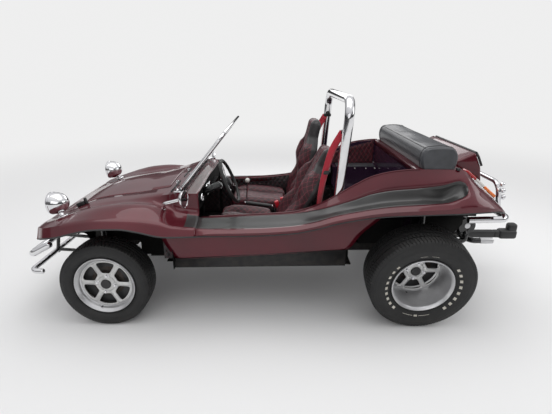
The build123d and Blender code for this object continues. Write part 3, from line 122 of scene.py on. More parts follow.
def rising(table, x):
    """Smooth value at x through (x, value) pairs in rising order, with no overshoot."""
    if x <= table[0][0]:
        return table[0][1]
    if x >= table[-1][0]:
        return table[-1][1]
    rises = [(b[1] - a[1]) / (b[0] - a[0]) for a, b in zip(table, table[1:])]

    def slope(i):
        if i in (0, len(table) - 1):
            return rises[0 if i == 0 else -1]
        before, after = rises[i - 1], rises[i]
        return 0.0 if before * after <= 0 else 2 * before * after / (before + after)

    i = next(k for k in range(len(rises)) if x <= table[k + 1][0])
    width = table[i + 1][0] - table[i][0]
    t = (x - table[i][0]) / width
    return ((2 * t**3 - 3 * t**2 + 1) * table[i][1] + (t**3 - 2 * t**2 + t) * width * slope(i)
            + (3 * t**2 - 2 * t**3) * table[i + 1][1] + (t**3 - t**2) * width * slope(i + 1))


def smooth_run(points, steps, corners=()):
    """Points of a smooth line through the given ones, which turns sharply only at corners."""
    points = [Vector(p) for p in points]
    gaps = [(b - a).length for a, b in zip(points, points[1:])]

    def heading(i, segment):
        if i in (0, len(points) - 1) or i in corners:
            return (points[segment + 1] - points[segment]) / gaps[segment]
        before = (points[i] - points[i - 1]) / gaps[i - 1]
        after = (points[i + 1] - points[i]) / gaps[i]
        return (before * gaps[i] + after * gaps[i - 1]) / (gaps[i] + gaps[i - 1])

    line = []
    for i, gap in enumerate(gaps):
        count = steps[i] if isinstance(steps, (list, tuple)) else steps
        for k in range(count):
            t = k / count
            line.append((2 * t**3 - 3 * t**2 + 1) * points[i]
                        + (t**3 - 2 * t**2 + t) * gap * heading(i, i)
                        + (3 * t**2 - 2 * t**3) * points[i + 1]
                        + (t**3 - t**2) * gap * heading(i + 1, i))
    return line + [points[-1]]


def spread(start, end, count):
    """Evenly spaced values from start to end, with both ends."""
    return [start + (end - start) * i / count for i in range(count + 1)]


def clamp(t):
    return min(1.0, max(0.0, t))


def section(table, x):
    """Values of a table's columns at x, its first column, smooth between the rows."""
    rows = sorted(table)
    return [rising([(row[0], row[i]) for row in rows], x) for i in range(1, len(rows[0]))]


def grid_through(rows, outward=None):
    """Sheet of faces through rows of points of one length, turned to face outward."""
    bm = bmesh.new()
    bmesh.ops.create_grid(bm, x_segments=len(rows[0]) - 1, y_segments=len(rows) - 1, size=1)
    bm.verts.ensure_lookup_table()
    for vert, point in zip(bm.verts, (point for row in rows for point in row)):
        vert.co = point
    if outward is not None:
        face_outward(bm, outward)
    return bm


def join_seams(bm, distance=1e-5):
    bmesh.ops.remove_doubles(bm, verts=bm.verts[:], dist=distance)


def only_verts(geom):
    return [item for item in geom if isinstance(item, bmesh.types.BMVert)]


def add_twin(bm):
    """Adds the mirror image across the car's middle, with its faces turned the right way."""
    twin = bmesh.ops.duplicate(bm, geom=bm.verts[:] + bm.edges[:] + bm.faces[:])["geom"]
    faces = [item for item in twin if isinstance(item, bmesh.types.BMFace)]
    bmesh.ops.scale(bm, vec=(1, -1, 1), verts=only_verts(twin))
    bmesh.ops.reverse_faces(bm, faces=faces)


def face_outward(bm, outward):
    """Turns an open sheet over where most of it faces away from the given direction."""
    bm.normal_update()
    total = sum((f.normal * f.calc_area() for f in bm.faces), Vector())
    if total.dot(Vector(outward)) < 0:
        bmesh.ops.reverse_faces(bm, faces=bm.faces[:])


def recalc(bm):
    """Turns the faces of a closed mesh outward."""
    bmesh.ops.recalc_face_normals(bm, faces=bm.faces[:])


def keep_faces(bm, test):
    """Deletes the faces whose middles fail a test."""
    gone = [face for face in bm.faces if not test(face.calc_center_median())]
    bmesh.ops.delete(bm, geom=gone, context="FACES")


def slice_at(bm, axis, *places):
    """New edges where planes across an axis cut the mesh."""
    normal = Vector([float(i == axis) for i in range(3)])
    for place in places:
        bmesh.ops.bisect_plane(bm, geom=bm.verts[:] + bm.edges[:] + bm.faces[:], dist=1e-6,
                               plane_co=normal * place, plane_no=normal)


def soften(bm, edges, width, segments=2):
    """Rounds edges off."""
    bmesh.ops.bevel(bm, geom=edges, offset=width, segments=segments, profile=0.5, affect="EDGES",
                    material=-1)


def turned(degrees, axis, place=(0, 0, 0)):
    """Matrix of a turn about an axis, followed by a move to a place."""
    return Matrix.Translation(place) @ Matrix.Rotation(math.radians(degrees), 4, axis)


def aimed(place, direction, track="Z", up="Y"):
    """Matrix that turns an axis along a direction and moves to a place."""
    turn = Vector(direction).to_track_quat(track, up).to_matrix().to_4x4()
    return Matrix.Translation(place) @ turn


def moved(bm, matrix):
    """The same bmesh placed by a matrix, its faces turned over where that mirrors it."""
    bmesh.ops.transform(bm, matrix=matrix, verts=bm.verts[:])
    if matrix.determinant() < 0:
        bmesh.ops.reverse_faces(bm, faces=bm.faces[:])
    return bm


def add_bm(bm, other, matrix=None):
    """Pours another bmesh into this one, placed by a matrix, and frees it."""
    scratch = bpy.data.meshes.new("scratch")
    if matrix is not None:
        moved(other, matrix)
    other.to_mesh(scratch)
    other.free()
    bm.from_mesh(scratch)
    bpy.data.meshes.remove(scratch)


def add_face(bm, points, outward):
    """Adds one flat face over the points, turned to face outward."""
    cap = bmesh.new()
    cap.faces.new([cap.verts.new(p) for p in points])
    face_outward(cap, outward)
    add_bm(bm, cap)


def spin_line(outline, steps=96, at=0.0):
    """Ring turned about Y from an open line of (radius, y) points, its y measured from at."""
    bm = bmesh.new()
    verts = [bm.verts.new((r, at + y, 0)) for r, y in outline]
    edges = [bm.edges.new(pair) for pair in zip(verts, verts[1:])]
    bmesh.ops.spin(bm, geom=verts + edges, cent=(0, 0, 0), axis=(0, 1, 0), angle=2 * math.pi,
                   steps=steps, use_merge=True)
    join_seams(bm)
    recalc(bm)
    return bm


def ball(radius, around=28, down=14):
    bm = bmesh.new()
    bmesh.ops.create_uvsphere(bm, u_segments=around, v_segments=down, radius=radius)
    return bm


def block(low, high, round_off=0.0, segments=2):
    """Box between two corners with rounded edges."""
    bm = bmesh.new()
    bmesh.ops.create_cube(bm, size=1)
    size = [b - a for a, b in zip(low, high)]
    bmesh.ops.scale(bm, vec=size, verts=bm.verts[:])
    bmesh.ops.translate(bm, vec=[(a + b) / 2 for a, b in zip(low, high)], verts=bm.verts[:])
    if round_off:
        soften(bm, bm.edges[:], round_off, segments)
    return bm


def drum(start, end, radius, end_radius=None, sides=32, round_off=0.0):
    """Round bar between two points, closed and with softened rims."""
    start, end = Vector(start), Vector(end)
    bm = bmesh.new()
    bmesh.ops.create_cone(bm, cap_ends=True, segments=sides, radius1=radius,
                          radius2=radius if end_radius is None else end_radius,
                          depth=(end - start).length)
    if round_off:
        rims = [e for e in bm.edges if abs(e.verts[0].co.z - e.verts[1].co.z) < 1e-7]
        soften(bm, rims, round_off, 3)
    return moved(bm, aimed((start + end) / 2, end - start))


def bent_path(points, radii, steps=10):
    """Straight runs joined by round corners, as a list of points."""
    points = [Vector(p) for p in points]
    line = [points[0]]
    for before, corner, after, radius in zip(points, points[1:], points[2:], radii):
        back, ahead = (before - corner).normalized(), (after - corner).normalized()
        half = back.angle(ahead) / 2
        reach = radius / math.tan(half)
        centre = corner + (back + ahead).normalized() * radius / math.sin(half)
        start, end = corner + back * reach - centre, corner + ahead * reach - centre
        for i in range(steps + 1):
            turn = Matrix.Rotation(start.angle(end) * i / steps, 3, start.cross(end))
            line.append(centre + turn @ start)
    return line + [points[-1]]


def pipe(path, radius, sides=20, capped=True):
    """Tube of one radius, or one radius a point, along a list of points."""
    path = [Vector(p) for p in path]
    radii = radius if isinstance(radius, (list, tuple)) else [radius] * len(path)
    headings = []
    for i in range(len(path)):
        before, after = path[max(i - 1, 0)], path[min(i + 1, len(path) - 1)]
        headings.append((after - before).normalized())
    side = headings[0].orthogonal().normalized()
    rows = []
    for point, heading, r in zip(path, headings, radii):
        side = (side - heading * side.dot(heading)).normalized()
        other = heading.cross(side)
        rows.append([point + (side * math.cos(a) + other * math.sin(a)) * r
                     for a in spread(0, 2 * math.pi, sides)])
    bm = grid_through(rows)
    join_seams(bm, 1e-6)
    if capped:
        bmesh.ops.holes_fill(bm, edges=bm.edges[:], sides=0)
    recalc(bm)
    return bm


def plate(outline, low, high, round_off=0.0):
    """Flat plate from an outline of (x, z) corners, between two values of y."""
    bm = bmesh.new()
    face = bm.faces.new([bm.verts.new((x, low, z)) for x, z in outline])
    made = bmesh.ops.extrude_face_region(bm, geom=[face])["geom"]
    bmesh.ops.translate(bm, vec=(0, high - low, 0), verts=only_verts(made))
    recalc(bm)
    if round_off:
        soften(bm, bm.edges[:], round_off)
    return bm


def add_object(name, data):
    made = bpy.data.objects.new(name, data)
    bpy.context.scene.collection.objects.link(made)
    return made


def publish(name, bm, material, slot, body="chassis", replaced=(), sharp=40.0, wall=0.0):
    """Makes a finished bmesh a piece of the car that rides on a body."""
    mesh = bpy.data.meshes.new(name)
    bmesh.ops.translate(bm, verts=bm.verts[:], vec=(SHIFT, 0, 0))
    bm.to_mesh(mesh)
    bm.free()
    piece = add_object(name, mesh)
    for layer in material if isinstance(material, tuple) else [material]:
        mesh.materials.append(layer)
    mesh.shade_smooth()
    mesh.set_sharp_from_angle(angle=math.radians(sharp))
    if wall:
        solid = piece.modifiers.new("Wall", "SOLIDIFY")
        solid.thickness = wall
        solid.offset = -1
    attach(piece, body)
    if replaced:
        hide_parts(*replaced)
    return piece


CAD_SLOTS = {part["node"]: part["material_slot"] for part in frame["record"]["subparts"]}


def dress(name, material):
    """Smooth-shaded copy of a CAD node, which stands for it."""
    source = frame["nodes"][name]
    bm = bmesh.new()
    bm.from_mesh(source.data)
    join_seams(bm)
    bmesh.ops.translate(bm, verts=bm.verts[:], vec=(-SHIFT, 0, 0))
    bmesh.ops.dissolve_limit(bm, angle_limit=math.radians(0.5), verts=bm.verts[:],
                             edges=bm.edges[:])
    return publish(f"dressed_{name}", bm, material, CAD_SLOTS[name], body=source["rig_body"],
                   replaced=[name], sharp=32.0)


# Finishes

def group_tree(name, inputs, outputs):
    """Shader node group, the sockets that come in and the ones that go out, by name."""
    tree = bpy.data.node_groups.new(name, "ShaderNodeTree")
    for label, value in inputs.items():
        kind = "NodeSocketColor" if isinstance(value, tuple) else "NodeSocketFloat"
        socket = tree.interface.new_socket(label, in_out="INPUT", socket_type=kind)
        socket.default_value = value
    kinds = {"Color": "NodeSocketColor", "Normal": "NodeSocketVector"}
    for label in outputs:
        tree.interface.new_socket(label, in_out="OUTPUT",
                                  socket_type=kinds.get(label, "NodeSocketFloat"))
    inside, out = tree.nodes.new("NodeGroupInput"), tree.nodes.new("NodeGroupOutput")
    return tree, inside.outputs, out.inputs


def feed(tree, socket, value):
    """Links a socket to another one, or sets its value."""
    if isinstance(value, bpy.types.NodeSocket):
        tree.links.new(value, socket)
    else:
        socket.default_value = value


def wire(tree, sockets, sources):
    """Feeds several sockets by name."""
    for label, source in sources.items():
        feed(tree, sockets[label], source)


def node(tree, kind, links=(), **values):
    """New node with its input sockets linked or set, and its properties set."""
    made = tree.nodes.new(kind)
    for key, value in values.items():
        setattr(made, key, value)
    wire(tree, made.inputs, dict(links))
    return made


def maths(tree, operation, *values):
    return node(tree, "ShaderNodeMath", dict(enumerate(values)), operation=operation).outputs[0]


def mixed(tree, factor, first, second):
    links = {"Factor": factor, 6: first, 7: second}
    return node(tree, "ShaderNodeMix", links, data_type="RGBA").outputs[2]


def ramped(tree, value, low, high, **values):
    """Value that runs from 0 at low to 1 at high."""
    links = {"Value": value, "From Min": low, "From Max": high}
    return node(tree, "ShaderNodeMapRange", links, **values).outputs[0]


def noise(tree, place, scale, detail, rough=0.5):
    links = {"Vector": place, "Scale": scale, "Detail": detail, "Roughness": rough}
    return node(tree, "ShaderNodeTexNoise", links).outputs[0]


def bumped(tree, height, distance):
    links = {"Height": height, "Distance": distance, "Strength": 1.0}
    return node(tree, "ShaderNodeBump", links).outputs[0]


def where(tree, kind="Object"):
    return tree.nodes.new("ShaderNodeTexCoord").outputs[kind]


def split(tree, vector):
    """Sockets X, Y and Z of a vector."""
    return node(tree, "ShaderNodeSeparateXYZ", {0: vector}).outputs


def finish_group():
    """Colour that drifts between two tones, uneven gloss and a fine grain."""
    tree, inside, out = group_tree("Finish", {
        "Color": (0.5, 0.5, 0.5, 1), "Tone": (0.4, 0.4, 0.4, 1), "Drift Scale": 6.0,
        "Roughness": 0.4, "Gloss Spread": 0.1, "Grain Scale": 400.0, "Grain Height": 0.0002,
    }, ("Color", "Roughness", "Normal"))
    place = where(tree)
    drift = ramped(tree, noise(tree, place, inside["Drift Scale"], 5.0, 0.6), 0.35, 0.65)
    smear = noise(tree, place, maths(tree, "MULTIPLY", inside["Drift Scale"], 2.7), 6.0)
    swing = maths(tree, "MULTIPLY_ADD", smear, 2.0, -1.0)
    rough = maths(tree, "MULTIPLY_ADD", swing, inside["Gloss Spread"], inside["Roughness"])
    grain = noise(tree, place, inside["Grain Scale"], 3.0)
    wire(tree, out, {"Color": mixed(tree, drift, inside["Color"], inside["Tone"]),
                     "Roughness": maths(tree, "MAXIMUM", rough, 0.02),
                     "Normal": bumped(tree, grain, inside["Grain Height"])})
    return tree


def dust_group():
    """Pale dust that gathers low down and on faces that point up."""
    tree, inside, out = group_tree("Dust", {
        "Color": (0.5, 0.5, 0.5, 1), "Dust": (0.32, 0.27, 0.22, 1), "Roughness": 0.5, "Top": 0.5,
        "Amount": 0.5,
    }, ("Color", "Roughness"))
    place = where(tree)
    low = ramped(tree, split(tree, place)["Z"], inside["Top"], 0.0)
    normal = tree.nodes.new("ShaderNodeNewGeometry").outputs["Normal"]
    up = ramped(tree, split(tree, normal)["Z"], 0.2, 1.0)
    patch = ramped(tree, noise(tree, place, 22.0, 8.0, 0.65), 0.4, 0.75)
    both = maths(tree, "MAXIMUM", low, maths(tree, "MULTIPLY", up, 0.5))
    cover = maths(tree, "MULTIPLY", maths(tree, "MULTIPLY", both, patch), inside["Amount"])
    wire(tree, out, {"Color": mixed(tree, cover, inside["Color"], inside["Dust"]),
                     "Roughness": maths(tree, "MULTIPLY_ADD", cover, 0.4, inside["Roughness"])})
    return tree


def hide_group():
    """Pebbled hide: small cells with creases between them."""
    tree, inside, out = group_tree("Hide", {
        "Color": (0.1, 0.1, 0.1, 1), "Crease Color": (0.05, 0.05, 0.05, 1), "Cell Scale": 500.0,
        "Height": 0.0003,
    }, ("Color", "Normal"))
    place = where(tree)
    cells = node(tree, "ShaderNodeTexVoronoi", {"Vector": place, "Scale": inside["Cell Scale"]},
                 feature="SMOOTH_F1").outputs[0]
    folds = noise(tree, place, 14.0, 6.0)
    rise = maths(tree, "MULTIPLY_ADD", folds, 2.0, maths(tree, "MULTIPLY", cells, -1.0))
    tone = ramped(tree, folds, 0.35, 0.7)
    wire(tree, out, {"Color": mixed(tree, tone, inside["Crease Color"], inside["Color"]),
                     "Normal": bumped(tree, rise, inside["Height"])})
    return tree


def stitch_group():
    """Mask of thread dashes along a diamond grid drawn on the piece's own UV map."""
    tree, inside, out = group_tree("Stitches", {"Thread Width": 0.05, "Dashes": 8.0}, ("Mask",))
    uv = split(tree, where(tree, "UV"))
    marks = []
    for along, across in (("X", "Y"), ("Y", "X")):
        wave = maths(tree, "FRACT", uv[across])
        near = maths(tree, "MINIMUM", wave, maths(tree, "SUBTRACT", 1.0, wave))
        line = maths(tree, "LESS_THAN", near, inside["Thread Width"])
        beat = maths(tree, "FRACT", maths(tree, "MULTIPLY", uv[along], inside["Dashes"]))
        marks.append(maths(tree, "MULTIPLY", line, maths(tree, "LESS_THAN", beat, 0.68)))
    wire(tree, out, {"Mask": maths(tree, "MAXIMUM", *marks)})
    return tree


GROUPS = {"finish": finish_group(), "dust": dust_group(), "hide": hide_group(),
          "stitch": stitch_group()}


def shader(name, **values):
    """Material with its Principled shader, whose sockets take the given values."""
    made = bpy.data.materials.new(name)
    made.use_nodes = True
    bsdf = made.node_tree.nodes["Principled BSDF"]
    for label, value in values.items():
        bsdf.inputs[label.replace("_", " ")].default_value = value
    return made, made.node_tree, bsdf.inputs


def placed(tree, group, **values):
    """Output sockets of a node group put to use with the given values."""
    made = tree.nodes.new("ShaderNodeGroup")
    made.node_tree = GROUPS[group]
    wire(tree, made.inputs, {label.replace("_", " "): value for label, value in values.items()})
    return made.outputs


def finished(name, color, tone, drift=6.0, rough=0.4, swing=0.08, grain=400.0, height=0.0001,
             dust=None, **sockets):
    """Material from the Finish group, with dust on it where a (top, amount) pair is given."""
    made, tree, bsdf = shader(name, **sockets)
    look = placed(tree, "finish", Color=(*color, 1), Tone=(*tone, 1), Drift_Scale=drift,
                  Roughness=rough, Gloss_Spread=swing, Grain_Scale=grain, Grain_Height=height)
    top = look
    if dust:
        top = placed(tree, "dust", Color=look["Color"], Roughness=look["Roughness"], Top=dust[0],
                     Amount=dust[1])
    wire(tree, bsdf, {"Base Color": top["Color"], "Roughness": top["Roughness"],
                      "Normal": look["Normal"]})
    return made


def hide(name, color, crease, cells=480.0, height=0.00025, thread=None, rough=0.45):
    """Leather or vinyl, with rows of stitches in a thread colour where one is given."""
    made, tree, bsdf = shader(name, Roughness=rough)
    skin = placed(tree, "hide", Color=(*color, 1), Crease_Color=(*crease, 1), Cell_Scale=cells,
                  Height=height)
    colour = skin["Color"]
    if thread:
        mask = placed(tree, "stitch", Thread_Width=0.035, Dashes=9.0)["Mask"]
        colour = mixed(tree, mask, colour, (*thread, 1))
    wire(tree, bsdf, {"Base Color": colour, "Normal": skin["Normal"]})
    return made


WINE = finished("wine_gel_coat", (0.092, 0.0035, 0.011), (0.068, 0.003, 0.009), drift=2.5, rough=0.40,
                swing=0.05, grain=900.0, height=0.00001, Metallic=0.30, Specular_IOR_Level=0.2,
                Coat_Weight=0.8, Coat_Roughness=0.02)
SATIN_GREY = finished("satin_grey_paint", (0.036, 0.035, 0.035), (0.025, 0.025, 0.025), drift=4.0,
                      rough=0.38, swing=0.07, grain=700.0, height=0.00004, Coat_Weight=0.35,
                      Coat_Roughness=0.2)
ROCKER_GREY = finished("rocker_sealer", (0.019, 0.019, 0.020), (0.012, 0.012, 0.013), rough=0.55,
                       grain=260.0, height=0.0004, dust=(0.75, 0.18), Specular_IOR_Level=0.3)
INNER_BLACK = finished("inner_sealer", (0.005, 0.005, 0.005), (0.009, 0.0085, 0.008), rough=0.8,
                       grain=180.0, height=0.0006, Specular_IOR_Level=0.15)
CHROME = finished("chrome_plate", (0.80, 0.80, 0.81), (0.72, 0.72, 0.74), drift=9.0, rough=0.07,
                  swing=0.05, grain=120.0, height=0.00002, Metallic=1.0)
CAST_ALLOY = finished("cast_alloy", (0.70, 0.70, 0.69), (0.58, 0.58, 0.575), drift=12.0, rough=0.34,
                      swing=0.08, grain=500.0, height=0.00006, Metallic=0.55)
TURNED_ALLOY = finished("turned_alloy", (0.64, 0.64, 0.65), (0.55, 0.55, 0.56), drift=10.0, rough=0.32,
                        swing=0.06, grain=300.0, height=0.00002, Metallic=0.75)
DARK_ALLOY = finished("dark_alloy", (0.060, 0.058, 0.055), (0.035, 0.033, 0.031), drift=20.0,
                      rough=0.6, grain=200.0, height=0.0003, Metallic=0.5)
TREAD_RUBBER = finished("tread_rubber", (0.008, 0.008, 0.0085), (0.012, 0.012, 0.012), drift=10.0,
                        rough=0.62, grain=300.0, height=0.0003, dust=(0.22, 0.05))
WHITE_RUBBER = finished("white_rubber", (0.60, 0.58, 0.52), (0.45, 0.42, 0.36), drift=40.0, rough=0.7)
FRAME_BLACK = finished("chassis_enamel", (0.008, 0.008, 0.008), (0.015, 0.0145, 0.013), drift=14.0,
                       rough=0.5, swing=0.15, grain=150.0, height=0.0004, dust=(0.8, 0.15),
                       Specular_IOR_Level=0.3)
# Engine and gearbox castings, far darker than bare alloy: painted shade for the dark engine bay.
SHADED_ENGINE_ALLOY = finished("engine_castings_painted_shade", (0.095, 0.093, 0.088), (0.045, 0.042, 0.038), drift=18.0,
                        rough=0.55, swing=0.15, grain=200.0, height=0.0005, Metallic=0.6)
BLACK_PLASTIC = finished("black_plastic", (0.016, 0.016, 0.017), (0.024, 0.024, 0.025), rough=0.45,
                         grain=600.0, height=0.0001)
BLACK_ENAMEL = finished("black_enamel", (0.010, 0.010, 0.011), (0.016, 0.016, 0.017), rough=0.25,
                        Coat_Weight=0.4)
IRON = finished("brake_iron", (0.09, 0.085, 0.08), (0.05, 0.035, 0.028), drift=25.0, rough=0.6,
                grain=200.0, height=0.0004, Metallic=0.7)
PLUM_GLOSS = finished("plum_gloss", (0.030, 0.012, 0.032), (0.022, 0.009, 0.024), rough=0.22,
                      swing=0.04, Coat_Weight=0.8, Coat_Roughness=0.05)
GREY_HIDE = hide("grey_leatherette", (0.040, 0.038, 0.039), (0.022, 0.021, 0.022))
WINE_QUILT = hide("wine_quilt", (0.058, 0.010, 0.016), (0.028, 0.006, 0.009), thread=(0.30, 0.05, 0.07))
BLACK_QUILT = hide("black_quilt", (0.017, 0.015, 0.016), (0.008, 0.007, 0.008),
                   thread=(0.12, 0.04, 0.05), rough=0.38)
GREY_VINYL = hide("grey_vinyl", (0.062, 0.065, 0.072), (0.040, 0.042, 0.047), cells=620.0,
                  height=0.00012, rough=0.36)
PIPING = hide("piping", (0.03, 0.03, 0.032), (0.02, 0.02, 0.022))
WHEEL_HIDE = hide("steering_hide", (0.016, 0.016, 0.016), (0.010, 0.010, 0.010))
RED_PLASTIC = finished("red_plastic", (0.50, 0.012, 0.025), (0.42, 0.010, 0.02), rough=0.3)


def webbing():
    """Woven seat belt: ribs along its length, on its own UV map."""
    made, tree, bsdf = shader("belt_webbing", Roughness=0.6, Sheen_Weight=0.3)
    uv = split(tree, where(tree, "UV"))
    ribs = maths(tree, "SINE", maths(tree, "MULTIPLY", uv["X"], 2 * math.pi * 14))
    picks = maths(tree, "SINE", maths(tree, "MULTIPLY", uv["Y"], 2 * math.pi * 260))
    rise = maths(tree, "ADD", ribs, maths(tree, "MULTIPLY", picks, 0.5))
    # Grooves between the ribs are painted darker than the ribs: painted shade in the weave.
    tone = ramped(tree, rise, -1.5, 1.5)
    colour = mixed(tree, tone, (0.30, 0.004, 0.018, 1), (0.55, 0.009, 0.034, 1))
    wire(tree, bsdf, {"Base Color": colour, "Normal": bumped(tree, rise, 0.0003)})
    return made


def clear(name, tint, rough):
    return shader(name, Base_Color=(*tint, 1), Roughness=rough, Transmission_Weight=1.0, IOR=1.45)[0]


RED_WEBBING = webbing()
CLEAR_GLASS = clear("clear_glass", (0.93, 0.97, 0.96), 0.0)
RIBBED_GLASS = clear("ribbed_glass", (0.95, 0.96, 0.97), 0.05)
AMBER_LENS = finished("amber_lens", (0.85, 0.20, 0.010), (0.70, 0.14, 0.008), rough=0.15,
                      Coat_Weight=0.6)
RED_LENS = finished("red_lens", (0.42, 0.010, 0.012), (0.35, 0.008, 0.010), rough=0.15, Coat_Weight=0.6)
WHITE_LENS = finished("white_lens", (0.72, 0.70, 0.66), (0.60, 0.58, 0.55), rough=0.15, Coat_Weight=0.6)
DIAL_FACE = finished("dial_face", (0.015, 0.015, 0.016), (0.02, 0.02, 0.02), rough=0.5)


# Bodywork

LIP_TURN = 0.018               # how far the lower edge turns in
FRONT_CUTS = (7, 5, 6, 6, 4)   # faces between the lines of the front, from the centreline out
NOSE_FOOT_Z = 0.606            # height of the nose's lower edge


def lip_turn(lip):
    """Two points that turn the lower edge inward from its lip."""
    return [Vector((lip.x, lip.y - LIP_TURN / 3, lip.z - 0.003)),
            Vector((lip.x, lip.y - LIP_TURN, lip.z + 0.004))]


def front_row(x):
    """Points across the front bodywork at a station, from the right lip to the left one."""
    values = section(FRONT_SECTIONS, x)
    half = [(0.0, values[0])] + list(zip(values[1::2], values[2::2]))
    line = [(x, -y, z) for y, z in half[:0:-1]] + [(x, y, z) for y, z in half]
    run = smooth_run(line, FRONT_CUTS[::-1] + FRONT_CUTS, corners=(1, 4, 6, 9))
    turn = lip_turn(run[-1])
    return [Vector((p.x, -p.y, p.z)) for p in turn[::-1]] + run + turn


def front_sheet():
    """The whole front skin, with its nose turned down."""
    rows = [front_row(x) for x in spread(JOINT_X, 0.640, 14) + spread(0.640, 1.485, 46)[1:]]
    nose = rows[-1]
    for ahead, share in ((0.004, 0.08), (0.007, 0.25), (0.009, 0.5), (0.008, 0.85), (0.004, 1.0)):
        rows.append([Vector((p.x + ahead, p.y * (1 - 0.012 * share),
                             p.z + (NOSE_FOOT_Z - p.z) * share)) for p in nose])
    return grid_through(rows, outward=(0, 0, 1))


CHANNEL_END = (0.505, 0.60, 0.10)     # x where the grey channel starts, its y there, and its slant
CHANNEL_Y = (0.568, 0.702)            # inner and outer edge of the grey channel
GAP_SHADE_REACH = 0.020                        # reach of the black strip to each side of the lid's edge; the strip is painted shade in the gap
GAP_SHADE_DROP = 0.0105


def in_lid(place, grow):
    """Whether a place lies within the lid's outline, grown by an amount."""
    return LID_X[0] - grow < place.x < LID_X[1] + grow and abs(place.y) < LID_HALF + grow


def cut_round_lid(bm, grow):
    slice_at(bm, 0, LID_X[0] - grow, LID_X[1] + grow)
    slice_at(bm, 1, -LID_HALF - grow, LID_HALF + grow)


def front_panels():
    """Front body with its grey channel, the lid in its opening, and a black strip under the gap that is
    painted shade to darken it.
    """
    body = front_sheet()
    cut_round_lid(body, SHUT_GAP)
    keep_faces(body, lambda c: not in_lid(c, SHUT_GAP))
    lid = front_sheet()
    cut_round_lid(lid, 0.0)
    keep_faces(lid, lambda c: in_lid(c, 0.0))
    start, inner, slant = CHANNEL_END
    for face in body.faces:
        c = face.calc_center_median()
        grey = CHANNEL_Y[0] < abs(c.y) < CHANNEL_Y[1] and c.x < start - (abs(c.y) - inner) * slant
        face.material_index = int(grey)
    publish("front_skin", body, (WINE, SATIN_GREY), "body_paint", replaced=["body_front"], sharp=48,
            wall=SKIN)
    publish("hood_skin", lid, WINE, "body_paint", body="hood", replaced=["hood_lid"], sharp=48,
            wall=SKIN)
    # Black strip under the lid's gap: painted shade, so the gap reads dark.
    gap_shade = front_sheet()
    cut_round_lid(gap_shade, GAP_SHADE_REACH)
    cut_round_lid(gap_shade, -GAP_SHADE_REACH)
    keep_faces(gap_shade, lambda c: in_lid(c, GAP_SHADE_REACH) and not in_lid(c, -GAP_SHADE_REACH))
    bmesh.ops.translate(gap_shade, verts=gap_shade.verts[:], vec=(0, 0, -GAP_SHADE_DROP))
    publish("lid_gap_shade", gap_shade, INNER_BLACK, "black_panel", wall=0.002)


def skin_height(x, y):
    """Height of the front skin at a place."""
    row = front_row(x)[2:-2]
    for a, b in zip(row, row[1:]):
        if a.y <= y <= b.y:
            return a.z + (b.z - a.z) * (y - a.y) / max(b.y - a.y, 1e-6)
    return row[-1].z


SCOOP_CUTS = 7                 # faces across each half of the grey hollow
SIDE_CUTS = (4, SCOOP_CUTS, SCOOP_CUTS, 4, 3)
SCOOP_FIRST = 6                # index in a row of the hollow's first point
SCOOP_LAST = SCOOP_FIRST + 2 * SCOOP_CUTS
SCOOP_END_X = -1.296
SCOOP_ROUND = 0.066            # length of the hollow's round end
SCOOP_POCKET = 0.034           # depth of the pocket at its end


def cockpit_edge(x):
    """The y and z of the cockpit's edge at a station."""
    return section(SIDE_SECTIONS, x)[:2]


def side_row(x):
    """Points across a sill or wing at a station, from the cockpit's edge out to the lip."""
    ey, ez, ty, tz, ly, lz, depth, py, pz = section(SIDE_SECTIONS, x)
    hollow = (x, (ty + ly) / 2 - depth * 0.7, (tz + lz) / 2 - depth * 0.7)
    line = [(x, ey, ez), (x, ty, tz), hollow, (x, ly, lz), (x, py, (pz + lz) / 2),
            (x, py - 0.006, pz)]
    run = smooth_run(line, SIDE_CUTS, corners=(4,))
    inner = [Vector((x, ey - 0.012, ez - 0.045)), Vector((x, ey - 0.009, ez - 0.008))]
    return inner + run + lip_turn(run[-1])


def side_stations():
    """Stations along the sills and wings, closest where the hollow ends."""
    return (spread(JOINT_X, -0.340, 26) + spread(-0.340, -1.220, 44)[1:]
            + spread(-1.220, -1.340, 16)[1:] + spread(-1.340, TAIL_X, 16)[1:])


def scoop_share(x):
    """Width of the grey hollow as a share of the panel, closing in a round end."""
    return math.sqrt(1 - clamp((SCOOP_END_X + SCOOP_ROUND - x) / SCOOP_ROUND) ** 2)


def side_rows():
    """Rows of a sill and wing, blended into the front skin, with the hollow's end and pocket."""
    rows = [side_row(x) for x in side_stations()]
    for row in rows:
        x = row[0].x
        blend = clamp((x - 0.300) / 0.125) ** 2
        for p in row[2:-2]:
            near = clamp((p.y - row[2].y - 0.012) / 0.03)
            p.z += blend * near * (skin_height(JOINT_X, p.y) - p.z)
        share = scoop_share(x)
        if 0.0 < share < 1.0:
            span = row[SCOOP_FIRST:SCOOP_LAST + 1]
            for k in range(2 * SCOOP_CUTS + 1):
                place = SCOOP_CUTS + (k - SCOOP_CUTS) * share
                low = min(int(place), 2 * SCOOP_CUTS - 1)
                row[SCOOP_FIRST + k] = span[low].lerp(span[low + 1], place - low)
        if share > 0.0:
            fade = clamp((-1.02 - x) / 0.14) * clamp((x - SCOOP_END_X) / 0.020)
            for k in range(SCOOP_FIRST + 1, SCOOP_LAST):
                across = (k - SCOOP_FIRST) / SCOOP_CUTS - 1
                depth = SCOOP_POCKET * fade * min(1.0, 2.6 * (1 - across ** 2))
                row[k] = row[k] + Vector((0, -0.6, -0.8)) * depth
    return rows


